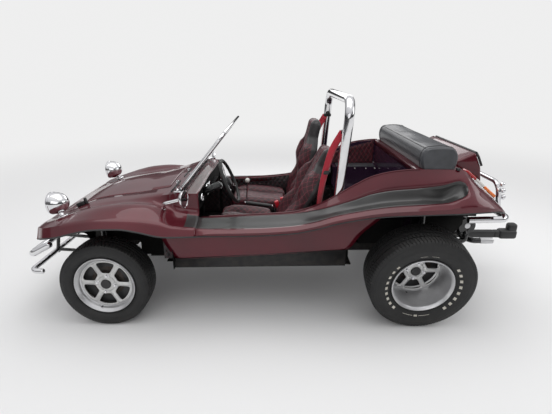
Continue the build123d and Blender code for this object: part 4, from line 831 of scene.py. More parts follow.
def side_skins():
    """Wine rim and flank with the satin grey channel between them, left and right."""
    rows = side_rows()
    tail = rows[-1]
    for back, drop, inset in ((0.006, 0.008, 0.004), (0.010, 0.022, 0.012), (0.010, 0.040, 0.016)):
        rows.append([Vector((p.x - back, p.y - inset, p.z - drop)) for p in tail])
    whole = grid_through(rows, outward=(0, 0.4, 1))
    whole.faces.ensure_lookup_table()
    scooped = sum(row[0].x > SCOOP_END_X for row in rows) - 1
    grey_faces = {j * (len(tail) - 1) + k for j in range(scooped)
                  for k in range(SCOOP_FIRST, SCOOP_LAST)}
    grey = whole.copy()
    grey.faces.ensure_lookup_table()
    for bm, wanted in ((whole, False), (grey, True)):
        gone = [f for f in bm.faces if (f.index in grey_faces) != wanted]
        bmesh.ops.delete(bm, geom=gone, context="FACES")
        join_seams(bm)
        add_twin(bm)
    publish("side_skins", whole, WINE, "body_paint", replaced=["body_sides"], sharp=50, wall=SKIN)
    publish("scoop_skins", grey, SATIN_GREY, "body_paint", sharp=50, wall=SKIN)


DECK_CROWN = 0.006
OPENING_X = (-1.500, -1.350)   # the deck's opening under the engine cover
OPENING_HALF = 0.370


def deck_skin():
    """Rear deck and tail across the car, with the opening under the engine cover."""
    ey, ez = cockpit_edge(DECK_FRONT_X)
    rows = [[(DECK_FRONT_X + 0.003, y, ez - down) for y in spread(-ey, ey, 40)]
            for down in (0.040, 0.002)]
    for x in spread(DECK_FRONT_X, TAIL_X, 40):
        ey, ez = cockpit_edge(x)
        rows.append([(x, y, ez + DECK_CROWN * (1 - (y / ey) ** 2)) for y in spread(-ey, ey, 40)])
    foot = rows[-1]
    for back, drop in ((0.006, 0.010), (0.010, 0.036)):
        rows.append([(x - back, y, z - drop) for x, y, z in foot])
    bm = grid_through(rows, outward=(0, 0, 1))
    slice_at(bm, 0, *OPENING_X)
    slice_at(bm, 1, -OPENING_HALF, OPENING_HALF)
    keep_faces(bm, lambda c: not (OPENING_X[0] < c.x < OPENING_X[1] and abs(c.y) < OPENING_HALF))
    publish("deck_skin", bm, WINE, "body_paint", replaced=["body_rear"], sharp=50, wall=SKIN)


SIDE_PANEL_Y = 0.655
PANEL_FRONT = [(0.586, 0.450), (0.622, 0.512), (0.658, 0.578), (0.688, 0.655)]
PANEL_REAR = [(-0.573, 0.524), (-0.605, 0.556), (-0.654, 0.630), (-0.740, 0.712), (-0.800, 0.762)]


def side_panels():
    """Lower wine panels between the wheel arches, gently bowed."""
    front = smooth_run([(x, 0, z) for x, z in PANEL_FRONT], 6)
    rear = smooth_run([(x, 0, z) for x, z in PANEL_REAR], [5, 5, 4, 4])
    rows = []
    for i, (a, b) in enumerate(zip(front, rear)):
        row = []
        for k in range(31):
            t = k / 30
            p = a.lerp(b, t)
            rise = math.sin(math.pi * i / (len(front) - 1))
            bow = 0.010 * rise + 0.006 * math.sin(math.pi * t)
            nose = 0.010 * max(0.0, 1 - t / 0.03) ** 2
            row.append((p.x, SIDE_PANEL_Y - 0.012 + bow - nose, p.z))
        rows.append(row)
    bm = grid_through(rows, outward=(0, 1, 0))
    add_twin(bm)
    publish("side_panels", bm, WINE, "body_paint", wall=SKIN)


def rockers():
    """Grey sealed rockers under the side panels, with their upper ledge and the floor edge."""
    rows = []
    for top_x, top_z, low_x, low_z in ((0.590, 0.456, 0.598, 0.374), (0.064, 0.492, 0.064, 0.383),
                                       (-0.573, 0.528, -0.573, 0.392)):
        rows.append([(top_x, SIDE_PANEL_Y - 0.004, top_z - 0.002), (top_x, 0.628, top_z - 0.004),
                     (top_x, 0.6235, top_z - 0.010), (low_x, 0.6225, (top_z + low_z) / 2),
                     (low_x, 0.620, low_z + 0.004), (low_x, 0.600, low_z),
                     (low_x, 0.460, low_z - 0.006)])
    bm = grid_through(rows, outward=(0, 1, 0))
    for row, facing in ((rows[0], 1), (rows[-1], -1)):
        add_face(bm, [*row, (row[0][0], 0.460, row[0][2])], (facing, 0, 0))
    add_twin(bm)
    publish("rockers", bm, ROCKER_GREY, "black_panel", sharp=30, wall=0.004)


def edge_trim():
    """Black rubber bead along the lower lips, and the thin bead along the cockpit's edge."""
    lip = [front_row(x)[-3] + Vector((0, 0.001, -0.002)) for x in spread(1.46, JOINT_X, 30)]
    lip += [side_row(x)[-2] + Vector((0, 0.002, -0.001)) for x in spread(0.40, -1.56, 50)]
    rim = [side_row(x)[2] + Vector((0, 0, 0.002)) for x in spread(0.36, -1.02, 50)]
    for name, line, radius, material, slot in (
            ("lip_bead", lip, 0.0052, BLACK_PLASTIC, "black_panel"),
            ("cockpit_bead", rim, 0.0045, WINE, "body_paint")):
        bead = pipe(line, radius, sides=8)
        add_twin(bead)
        publish(name, bead, material, slot)


ENGINE_LID_HALF = 0.400
ENGINE_LID_SIDE = [(-1.326, 1.040), (-1.318, 1.074), (-1.462, 1.142), (-1.512, 1.035),
                   (-1.532, 0.905), (-1.534, 0.868)]


def engine_cover():
    """Raised hollow cover over the engine, with a rubber edge along its back."""
    bm = plate(ENGINE_LID_SIDE, -ENGINE_LID_HALF, ENGINE_LID_HALF)
    under = [f for f in bm.faces if f.normal.z < -0.3]
    bmesh.ops.delete(bm, geom=under, context="FACES")
    soften(bm, [e for e in bm.edges if len(e.link_faces) == 2], 0.016, 4)
    publish("engine_cover", bm, WINE, "body_paint", body="engine_cover", replaced=["engine_lid"],
            wall=SKIN)
    strip = pipe([(-1.476, y, 1.135) for y in spread(-0.375, 0.375, 12)], 0.008, sides=10)
    for side in (-1, 1):
        add_bm(strip, pipe([(-1.476, side * 0.375, 1.135), (-1.486, side * 0.393, 1.110),
                            (-1.512, side * 0.398, 1.050)], 0.008, sides=10))
    publish("engine_cover_edge", strip, BLACK_PLASTIC, "black_panel", body="engine_cover")


POCKET_X = (-0.440, -0.600)    # ends of the pocket where the hoop stands
WALL_Y = 0.527
WALL_FOOT_Z = 0.372
LEDGE_Z = 0.6355               # floor of the pocket
POCKET_BACK_Y = 0.609


def cockpit_walls():
    """Walls beside the seats, with the pockets where the hoop stands."""
    rows = []
    for x in spread(JOINT_X, POCKET_X[0], 24):
        edge_y, edge_z = cockpit_edge(x)
        rows.append([(x, WALL_Y, z) for z in spread(WALL_FOOT_Z, edge_z - 0.064, 5)]
                    + [(x, edge_y - 0.006, edge_z - 0.010)])
    bm = grid_through(rows, outward=(0, -1, 0))
    below = [[(x, WALL_Y, z) for z in spread(WALL_FOOT_Z, LEDGE_Z, 4)] for x in POCKET_X]
    ledge = [[(x, y, LEDGE_Z) for y in (WALL_Y, 0.560, 0.600, 0.652)] for x in POCKET_X]
    back = [[(x, POCKET_BACK_Y, z) for z in (LEDGE_Z, cockpit_edge(x)[1] - 0.012)]
            for x in spread(*POCKET_X, 6)]
    for rows, outward in ((below, (0, -1, 0)), (ledge, (0, 0, 1)), (back, (0, -1, 0))):
        add_bm(bm, grid_through(rows, outward=outward))
    for x, facing, low_y, knee in ((POCKET_X[0], -1, WALL_Y, 0.064),
                                   (POCKET_X[1] - 0.001, 1, 0.590, 0.050)):
        edge_y, edge_z = cockpit_edge(x)
        ends = [(low_y, LEDGE_Z), (POCKET_BACK_Y, LEDGE_Z), (POCKET_BACK_Y, edge_z - 0.014),
                (edge_y - 0.006, edge_z - 0.010), (low_y, edge_z - knee)]
        add_face(bm, [(x, y, z) for y, z in ends], (facing, 0, 0))
    add_twin(bm)
    publish("cockpit_walls", bm, INNER_BLACK, "black_panel", wall=0.004)


def inner_panels():
    """Cockpit walls, black sheets under the nose and the wings that are painted shade where the ground
    would show through, and the seal under the footwell.
    """
    cockpit_walls()
    # Black sheet under the nose: painted shade for the dark space behind the nose.
    tray = [[(x, y, z) for y in (-0.40, 0.0, 0.40)]
            for x, z in ((1.472, 0.606), (1.400, 0.590), (1.290, 0.535), (1.262, 0.470))]
    publish("nose_shade_sheet", grid_through(tray, outward=(0, 0, -1)), INNER_BLACK, "black_panel",
            wall=0.003)
    # Black sheets under the rear wings and beside the front wheel wells: painted shade for the dark wells
    # and engine bay.
    shade_sheets = grid_through([[(x, 0.424, z) for z in (0.690, 0.80, top)] for x, top in (
        (-1.0008, 1.050), (-1.280, 1.046), (-1.400, 0.950), (-1.520, 0.850))], outward=(0, 1, 0))
    for y, high, line in ((0.404, 0.700, ((-0.700, 0.470), (-1.320, 0.470), (-1.440, 0.620))),
                          (0.330, 0.710, ((0.700, 0.345), (0.925, 0.345), (0.926, 0.460),
                                          (1.300, 0.460)))):
        rows = [[(x, y, z) for z in (low, high)] for x, low in line]
        add_bm(shade_sheets, grid_through(rows, outward=(0, 1, 0)))
    add_twin(shade_sheets)
    publish("wing_shade_sheets", shade_sheets, INNER_BLACK, "black_panel", wall=0.003)
    seal = block((0.470, -0.500, 0.3660), (0.690, 0.500, 0.3700))
    publish("floor_seal", seal, INNER_BLACK, "black_panel")


front_panels()
side_skins()
deck_skin()
side_panels()
rockers()
edge_trim()
engine_cover()
inner_panels()


# Wheels, each turned round its own axis along Y with the outer side at +Y

RIM_LIP = 0.2035
WHEELS = {
    "front": dict(x=AXLE_X, tyre_r=0.3045, tread=0.080, width=0.196, crown=0.004, rim=0.172,
                  lip_y=0.745, depth=0.038, camber=1.2, drum_r=0.118, pitches=84, skew=0.035,
                  turn=3.0),
    "rear": dict(x=-AXLE_X, tyre_r=0.354, tread=0.107, width=0.256, crown=0.006, rim=0.232,
                 lip_y=0.814, depth=0.175, camber=9.3, drum_r=0.122, pitches=96, skew=0.075,
                 turn=0.0),
}


def wheel_place(spec, side):
    """Matrix that sets a wheel piece on its hub, mirrored for the right side."""
    lean = math.radians(spec["camber"])
    y = spec["lip_y"] - spec["rim"] / 2 * math.cos(lean)
    z = (spec["tyre_r"] - spec["crown"]) * math.cos(lean) + spec["tread"] * math.sin(lean)
    left = Matrix.Translation((spec["x"], y, z)) @ Matrix.Rotation(-lean, 4, "X")
    return left if side > 0 else Matrix.Diagonal((1, -1, 1, 1)) @ left


def arc_points(start, middle, end, steps):
    """Points of the circle arc through three (r, y) points."""
    (ax, ay), (bx, by), (cx, cy) = start, middle, end
    d = 2 * (ax * (by - cy) + bx * (cy - ay) + cx * (ay - by))
    sa, sb, sc = ax * ax + ay * ay, bx * bx + by * by, cx * cx + cy * cy
    ux = (sa * (by - cy) + sb * (cy - ay) + sc * (ay - by)) / d
    uy = (sa * (cx - bx) + sb * (ax - cx) + sc * (bx - ax)) / d
    radius = math.hypot(ax - ux, ay - uy)
    first = math.atan2(ay - uy, ax - ux)
    mid, last = (math.remainder(math.atan2(y - uy, x - ux) - first, 2 * math.pi)
                 for x, y in (middle, end))
    if last * mid < 0 or abs(last) < abs(mid):
        last += math.copysign(2 * math.pi, mid)
    return [(ux + radius * math.cos(first + last * k / steps),
             uy + radius * math.sin(first + last * k / steps)) for k in range(steps + 1)]


# Fine rings moulded into the sidewall: place along it from bead to shoulder, half width, depth
WALL_RINGS = [(0.05, 0.022, 0.0016), (0.13, 0.012, 0.0009), (0.56, 0.010, 0.0008),
              (0.60, 0.010, 0.0008), (0.80, 0.016, 0.0014), (0.87, 0.012, 0.0010)]
WALL_STEPS = 60


def wall_line(spec):
    """Sidewall from the bead up to the shoulder, with its rings."""
    bead = RIM_LIP - 0.010
    bulge = bead + (spec["tyre_r"] - bead) * 0.45
    points = arc_points((RIM_LIP + 0.006, spec["rim"] / 2 - 0.012),
                        (bulge, spec["width"] / 2 - 0.0006),
                        (spec["tyre_r"] - spec["crown"], spec["tread"]), WALL_STEPS)
    line = []
    for i, (r, y) in enumerate(points):
        before, after = points[max(i - 1, 0)], points[min(i + 1, WALL_STEPS)]
        dr, dy = after[0] - before[0], after[1] - before[1]
        length = math.hypot(dr, dy)
        t = i / WALL_STEPS
        dip = sum(depth for place, half, depth in WALL_RINGS if abs(t - place) < half)
        line.append((r + dy / length * dip, y - dr / length * dip))
    return line


def crown_r(spec, y):
    return spec["tyre_r"] - spec["crown"] * (y / spec["tread"]) ** 2


GROOVE = 0.0085


def tread_rows(spec):
    """Rows of blocks across the tread: each a list of (top, bottom) profile points."""
    half = spec["tread"]
    wall = wall_line(spec)
    rows = []
    for low, high in ((-0.11, 0.11), (0.20, 0.50), (0.57, 0.985)):
        ys = spread(low * half, high * half, 3)
        row = [((crown_r(spec, y), y), (crown_r(spec, y) - GROOVE, y)) for y in ys]
        if high > 0.9:
            for k, depth in ((57, 0.005), (54, 0.003), (51, 0.0003)):
                r, y = wall[k]
                row.append(((r + 0.0006, y + 0.0006), (r - depth, y - depth)))
        rows.append(row)
        if low > 0:
            rows.append([((a, -b), (c, -d)) for (a, b), (c, d) in row])
    return rows


def tyre_mesh(spec):
    """Carcass with ringed sidewalls, and the tread's blocks standing on it."""
    wall = wall_line(spec)[:56]
    bead = [(RIM_LIP - 0.010, spec["rim"] / 2 - 0.013), (RIM_LIP + 0.004, spec["rim"] / 2 - 0.013)]
    floor = [(crown_r(spec, y) - GROOVE, y) for y in spread(spec["tread"] * 0.97, 0, 5)]
    outer = bead + wall + floor
    bm = spin_line(outer + [(r, -y) for r, y in outer[-2::-1]], steps=120)
    bm.faces.ensure_lookup_table()
    pitch = 2 * math.pi / spec["pitches"]
    for row_at, row in enumerate(tread_rows(spec)):
        rib = row_at == 0
        gap = 0.0 if rib else 0.0044 / spec["tyre_r"]
        for k in range(spec["pitches"]):
            start = k * pitch + (0.5 * pitch if row_at in (3, 4) else 0) + gap / 2
            turns = (start, start + pitch - gap)
            corners = []
            for (tr, ty), (br, by) in row:
                lean = spec["skew"] * abs(ty) / spec["tread"]
                corners.append([[bm.verts.new((r * math.cos(a + lean), y, r * math.sin(a + lean)))
                                 for a in turns] for r, y in ((tr, ty), (br, by))])
            for (top, low), (next_top, next_low) in zip(corners, corners[1:]):
                bm.faces.new((top[0], top[1], next_top[1], next_top[0]))
                if not rib:
                    bm.faces.new((top[0], next_top[0], next_low[0], low[0]))
                    bm.faces.new((top[1], low[1], next_low[1], next_top[1]))
            for top, low in (corners[0], corners[-1]):
                bm.faces.new((top[0], low[0], low[1], top[1]))
    recalc(bm)
    return bm


# Plain white bars round the rear sidewall: first and last angle in degrees, number of bars
WALL_BARS = [(-44, 40, 9), (146, 226, 8)]


def wall_marks(spec):
    """Raised plain bars and two thin arcs on the outer sidewall."""
    wall = wall_line(spec)

    def at(r, lift):
        k = next(i for i, p in enumerate(wall) if p[0] >= r)
        return wall[k][1] + lift

    bm = bmesh.new()

    def bar(low, high, first, last, steps):
        angles = [math.radians(a) for a in spread(first, last, steps)]
        for pair in zip(angles, angles[1:]):
            v = [bm.verts.new((r * math.cos(a), at(r, lift), r * math.sin(a)))
                 for lift in (0.0007, -0.0012) for r in (low, high) for a in pair]
            for face in ((0, 1, 3, 2), (0, 2, 6, 4), (1, 5, 7, 3), (2, 3, 7, 6), (0, 4, 5, 1)):
                bm.faces.new([v[i] for i in face])

    for first, last, count in WALL_BARS:
        for middle in spread(first, last, count - 1):
            bar(0.2315, 0.2480, middle - 2.5, middle + 2.5, 3)
    for first, last in ((-108, -91), (-81, -64), (76, 87), (93, 104)):
        bar(0.2392, 0.2412, first, last, 6)
    bar(0.2345, 0.2458, -88.5, -83.5, 2)
    recalc(bm)
    return bm


SPOKES = 6
SPOKE_HALF = 0.0170
WINDOW_R = (0.078, 0.158)      # inner and outer radius of the windows between the spokes
WINDOW_MIDDLE = 0.121
SECTOR_R = (0.058, 0.168)
NUT_CIRCLE = 0.0605


def window_reach(angle, centre):
    """Distance from a window's middle to its rounded edge in a direction."""
    ux, uy = math.cos(angle), math.sin(angle)
    reaches = []
    for r, sign in ((WINDOW_R[1], 1), (WINDOW_R[0], -1)):
        b = centre * ux
        disc = b * b - (centre * centre - r * r)
        if disc > 0:
            reach = -b + sign * math.sqrt(disc)
            if reach > 0:
                reaches.append(reach)
    for side in (1, -1):
        nx, ny = math.sin(math.pi / SPOKES), -side * math.cos(math.pi / SPOKES)
        slope = ux * nx + uy * ny
        if slope < -1e-6:
            reaches.append((centre * nx - SPOKE_HALF) / -slope)
    return sum(reach ** -8 for reach in reaches) ** (-1 / 8)


def wheel_face(face_y, turn):
    """Six-spoked centre: sectors round the windows, joined along the spokes' ridges."""
    half = math.pi / SPOKES
    centre = WINDOW_MIDDLE
    edge = [(SECTOR_R[1], a) for a in spread(-half, half, 10)[:-1]]
    edge += [(r, half) for r in spread(SECTOR_R[1], SECTOR_R[0], 9)[:-1]]
    edge += [(SECTOR_R[0], a) for a in spread(half, -half, 6)[:-1]]
    edge += [(r, -half) for r in spread(SECTOR_R[0], SECTOR_R[1], 9)[:-1]]
    whole = bmesh.new()
    for k in range(SPOKES):
        rows = []
        for share in (0.0, 0.10, 0.28, 0.6, 1.0):
            row = []
            for r, a in edge + edge[:1]:
                x, z = r * math.cos(a), r * math.sin(a)
                angle = math.atan2(z, x - centre)
                reach = window_reach(angle, centre)
                wx, wz = centre + reach * math.cos(angle), reach * math.sin(angle)
                ridge = (abs(a) / half) ** 6 * clamp((SECTOR_R[1] - r) / 0.022)
                rise = 0.0065 * ridge * share ** 1.5 - 0.0035 * (1 - share) ** 6
                row.append((wx + (x - wx) * share, face_y + rise, wz + (z - wz) * share))
            rows.append(row)
        sector = grid_through(rows, outward=(0, 1, 0))
        join_seams(sector, 1e-6)
        spin = Matrix.Rotation(-(k + 0.5) * 2 * half - math.radians(turn), 4, "Y")
        add_bm(whole, sector, spin)
    join_seams(whole)
    return whole


def wheel_pieces(end, spec, side):
    """Every piece of one wheel, which rides on the wheel's own body."""
    half = spec["rim"] / 2
    face_y = half - spec["depth"]
    label = f"{end}_{'left' if side > 0 else 'right'}"
    place = wheel_place(spec, side)

    def out(name, bm, material, slot, **more):
        publish(f"{name}_{label}", moved(bm, place), material, slot, body=f"wheel_{label}_body",
                **more)

    out("tyre", tyre_mesh(spec), TREAD_RUBBER, "rubber", replaced=[f"tyre_{label}"], sharp=30)
    if end == "rear":
        out("tyre_marks", wall_marks(spec), WHITE_RUBBER, "rubber")
    dish = [(0.1975, -0.016), (0.2035, -0.011), (0.2035, -0.002), (0.2017, -0.0004), (0.1985, 0.0)]
    if end == "front":
        dish += [(0.196, -0.003), (0.184, -0.014), (0.181, -0.018), (0.180, -0.024),
                 (0.176, -0.033), (0.168, -0.037)]
    else:
        dish += [(0.1955, -0.003), (0.186, -0.013), (0.1835, -0.018), (0.183, -0.030)]
        for k in range(9):
            r, y = 0.1828 - k * 0.0012, -0.034 - k * 0.015
            dish += [(r, y), (r - 0.0006, y - 0.002), (r - 0.0002, y - 0.006)]
        dish += [(0.1712, -0.169), (0.168, -0.174)]
    dish.append((SECTOR_R[1], -spec["depth"]))
    out("wheel_dish", spin_line(dish, at=half), TURNED_ALLOY, "alloy", replaced=[f"wheel_{label}"],
        sharp=28)
    barrel = [(0.1685, face_y - 0.001), (0.1665, face_y - 0.020),
              (0.1665, min(face_y - 0.021, 0.050 - half)), (0.186, 0.036 - half),
              (0.1865, 0.014 - half), (0.1945, 0.008 - half), (0.1965, -half), (0.2035, -half),
              (0.2035, 0.010 - half), (0.1965, 0.014 - half)]
    out("wheel_barrel", spin_line(barrel, steps=72), DARK_ALLOY, "alloy", sharp=28)
    face = wheel_face(face_y, spec["turn"])
    hub = spin_line([(SECTOR_R[0], 0.0), (0.056, 0.0012), (0.050, 0.0042), (0.040, 0.0052),
                     (0.0375, 0.0075), (0.0355, 0.0075), (0.0350, 0.002), (0.0, 0.002)],
                    steps=48, at=face_y)
    face_outward(hub, (0, 1, 0))
    add_bm(face, hub)
    join_seams(face, 2e-4)
    out("wheel_face", face, CAST_ALLOY, "alloy", sharp=38, wall=0.019)
    cap = spin_line([(0.0345, -0.002), (0.0345, 0.011), (0.0330, 0.0138), (0.0290, 0.0148),
                     (0.0270, 0.0136), (0.0, 0.0142)], steps=40, at=face_y)
    valve = drum((0.180, face_y + 0.004, 0), (0.168, face_y + 0.036, 0), 0.0042, 0.0032, sides=14,
                 round_off=0.0008)
    add_bm(cap, valve, turned(75, "Y"))
    out("wheel_cap", cap, BLACK_PLASTIC, "black_paint")
    nuts = bmesh.new()
    for k in range(4):
        a = math.radians(90 * k + 10)
        x, z = NUT_CIRCLE * math.cos(a), NUT_CIRCLE * math.sin(a)
        for low, high, r, rounding in ((0.000, 0.0045, 0.0145, 0.0014),
                                       (0.004, 0.017, 0.0098, 0.0035)):
            add_bm(nuts, drum((x, face_y + low, z), (x, face_y + high, z), r, sides=24,
                              round_off=rounding))
    out("wheel_nuts", nuts, CHROME, "chrome")
    top = face_y - 0.034
    deep = min(0.052, half + top - 0.002)
    r = spec["drum_r"]
    brake = [(0.0, 0.0), (0.045, 0.0), (0.048, -0.003), (0.085, -0.003), (0.088, 0.0),
             (r - 0.012, -0.001), (r - 0.003, -0.006), (r, -0.014), (r - 0.003, -0.017),
             (r, -0.020), (r, -deep), (r - 0.007, -deep), (r - 0.007, -0.014), (0.0, -0.014)]
    out("wheel_drum", spin_line(brake, steps=64, at=top), IRON, "chassis_black")
    # Black ring behind the windows between the spokes: painted shade for the dark inside of the wheel.
    shade = [(r - 0.010, -0.004), (0.1650, -0.004), (0.1652, -0.010), (r - 0.010, -0.010)]
    out("wheel_shade", spin_line(shade, steps=64, at=top), BLACK_PLASTIC, "chassis_black")


for end, spec in WHEELS.items():
    for side in (1, -1):
        wheel_pieces(end, spec, side)


# Seats. A pad is drawn as sections along its length; the front of a section is its sat-on side.

QUILT_PITCH = 0.042
QUILT_RATIO = 1.35             # length of a diamond over its width
QUILT_DEPTH = 0.0055
QUILT_TOP = 0.56               # place along a pad where the quilt narrows for the headrest
MIDDLE_STEPS = 26              # faces across each half of a pad's quilted middle


def quilt_place(across, along):
    """Diamond grid coordinates of a point on a quilted panel."""
    return (across / QUILT_PITCH + along / (QUILT_PITCH * QUILT_RATIO) + 40.5,
            across / QUILT_PITCH - along / (QUILT_PITCH * QUILT_RATIO) + 40.5)


def quilt_rise(across, along):
    """Height of a quilted panel's pillows over its stitches."""
    a, b = quilt_place(across, along)
    return QUILT_DEPTH * (abs(math.sin(math.pi * a)) * abs(math.sin(math.pi * b))) ** 0.45


def padded_form(table, length, steps, close=0.035):
    """Closed seat pad with a quilted middle and a firm roll along each side.

    Columns of the table: place along the pad, half width, half width of the quilted middle,
    front, height of the side rolls, rear. Face material 0 is the quilt and 1 the plain hide.
    """
    bm = bmesh.new()
    uv = bm.loops.layers.uv.new("UVMap")
    rows, girths = [], []
    for v in spread(0, length, steps):
        half, channel, front, roll, rear = section(table, v)
        near = min(v, length - v)
        shrink = 1.0 if near > close else math.sqrt(max(0.0, 1 - (1 - near / close) ** 2))
        shrink = max(shrink, 0.05)
        line = [(front + 0.010, 0.0), (front + 0.007, channel * 0.6), (front - 0.006, channel),
                (front + roll * 0.75, channel + (half - channel) * 0.30),
                (front + roll, channel + (half - channel) * 0.62),
                (front + roll * 0.35, half * 0.985), (front - 0.030, half),
                (rear + 0.020, half * 0.985), (rear + 0.004, half * 0.90), (rear, half * 0.6),
                (rear - 0.003, 0.0)]
        cuts = [MIDDLE_STEPS * 6 // 10, MIDDLE_STEPS * 4 // 10, 5, 5, 5, 4, 4, 4, 4, 4]
        run = smooth_run([(x, y, 0) for x, y in line], cuts, corners=(2,))
        level = (front + rear) / 2
        half_row = []
        for k, p in enumerate(run):
            x = p.x
            if k < MIDDLE_STEPS:
                edge = min(1.0, (MIDDLE_STEPS - k) / 3)
                x += quilt_rise(p.y, v) * edge - QUILT_DEPTH
            half_row.append(((level + (x - level) * shrink), p.y * (0.55 + 0.45 * shrink)))
        loop = [Vector((x, y, v)) for x, y in half_row]
        loop += [Vector((x, -y, v)) for x, y in half_row[-2:0:-1]]
        rows.append(loop)
        reach = [0.0]
        for (ax, ay), (bx, by) in zip(half_row, half_row[1:]):
            reach.append(reach[-1] + math.hypot(bx - ax, by - ay))
        girths.append(reach + [-g for g in reach[-2:0:-1]])
    verts = [[bm.verts.new(p) for p in row] for row in rows]
    count = len(rows[0])
    for j in range(len(rows) - 1):
        v = rows[j][0].z
        for k in range(count):
            n = (k + 1) % count
            face = bm.faces.new((verts[j][k], verts[j][n], verts[j + 1][n], verts[j + 1][k]))
            rolls = 19 if v < QUILT_TOP else 11
            quilted = k < MIDDLE_STEPS + rolls or k >= count - MIDDLE_STEPS - rolls
            face.material_index = 0 if quilted else 1
            for loop, at in zip(face.loops, (k, n, n, k)):
                place = quilt_place(girths[j][at], loop.vert.co.z)
                loop[uv].uv = place if quilted else (0.5, 0.5)
    for row in (verts[0], verts[-1]):
        cap = bm.faces.new(row)
        cap.material_index = 1
    recalc(bm)
    return bm


SEATS = {"left": dict(side=1, pivot=-0.085, recline=29.0, scale=0.95, reach=0.85),
         "right": dict(side=-1, pivot=-0.195, recline=14.0, scale=1.04, reach=1.0)}
SEAT_Y = 0.300
BACK_TABLE = [(0.000, 0.185, 0.118, 0.030, 0.020, -0.050), (0.080, 0.212, 0.122, 0.026, 0.048, -0.054),
              (0.190, 0.219, 0.126, 0.020, 0.060, -0.056), (0.320, 0.206, 0.126, 0.024, 0.026, -0.056),
              (0.430, 0.216, 0.128, 0.030, 0.050, -0.056), (0.520, 0.204, 0.118, 0.034, 0.036, -0.056),
              (0.575, 0.158, 0.096, 0.038, 0.010, -0.052), (0.620, 0.124, 0.082, 0.040, 0.006, -0.046),
              (0.700, 0.119, 0.080, 0.042, 0.005, -0.042), (0.748, 0.108, 0.076, 0.036, 0.004, -0.038)]
CUSHION_TABLE = [(0.000, 0.196, 0.124, 0.030, 0.012, -0.062), (0.090, 0.214, 0.126, 0.030, 0.030, -0.064),
                 (0.220, 0.220, 0.128, 0.036, 0.036, -0.064), (0.360, 0.219, 0.130, 0.050, 0.026, -0.064),
                 (0.440, 0.212, 0.130, 0.048, 0.012, -0.060), (0.470, 0.205, 0.128, 0.030, 0.006, -0.052)]


def seat_pieces():
    """Backs and cushions; the near seat stands further forward and leans back more."""
    for label, spec in SEATS.items():
        y = spec["side"] * SEAT_Y
        back_at = (turned(-spec["recline"], "Y", (spec["pivot"] - 0.045, y, 0.535))
                   @ Matrix.Diagonal((1, 1, spec["scale"], 1)))
        laid_flat = Matrix(((0, 0, 1, spec["pivot"] + 0.020), (0, 1, 0, y), (1, 0, 0, 0.591),
                            (0, 0, 0, 1)))
        cushion_at = laid_flat @ Matrix.Diagonal((1, 1, spec["reach"], 1))
        for part, pad, place in (
                ("back", padded_form(BACK_TABLE, 0.748, 118), back_at),
                ("cushion", padded_form(CUSHION_TABLE, 0.470, 78, close=0.030), cushion_at)):
            piece = publish(f"seat_{part}_{label}", moved(pad, place), (WINE_QUILT, GREY_HIDE),
                            "leather_grey", replaced=[f"seat_{part}_{label}"], sharp=50)


def ribbon(path, first_across, last_across, width):
    """Flat strap along a path, its width turning from one direction to another."""
    rows = []
    for i, point in enumerate(path):
        before, after = path[max(i - 1, 0)], path[min(i + 1, len(path) - 1)]
        heading = (after - before).normalized()
        across = Vector(first_across).lerp(Vector(last_across), i / (len(path) - 1))
        side = (across - heading * across.dot(heading)).normalized()
        rows.append([point + side * width * t for t in (-0.5, -0.25, 0.0, 0.25, 0.5)])
    bm = grid_through(rows)
    uv = bm.loops.layers.uv.new("UVMap")
    bm.faces.ensure_lookup_table()
    reach = [0.0]
    for a, b in zip(path, path[1:]):
        reach.append(reach[-1] + (b - a).length)
    for i, face in enumerate(bm.faces):
        j, k = divmod(i, 4)
        places = {(k, j), (k + 1, j), (k, j + 1), (k + 1, j + 1)}
        for loop in face.loops:
            u, v = min(places, key=lambda p: (rows[p[1]][p[0]] - loop.vert.co).length)
            loop[uv].uv = (u / 4, reach[v])
    return bm, reach[-1]


def hoop_x(z):
    """Where the leaning hoop stands at a height."""
    return -0.489 - 0.076 * (z - 0.600) / 0.895


BELT_Y = 0.5209


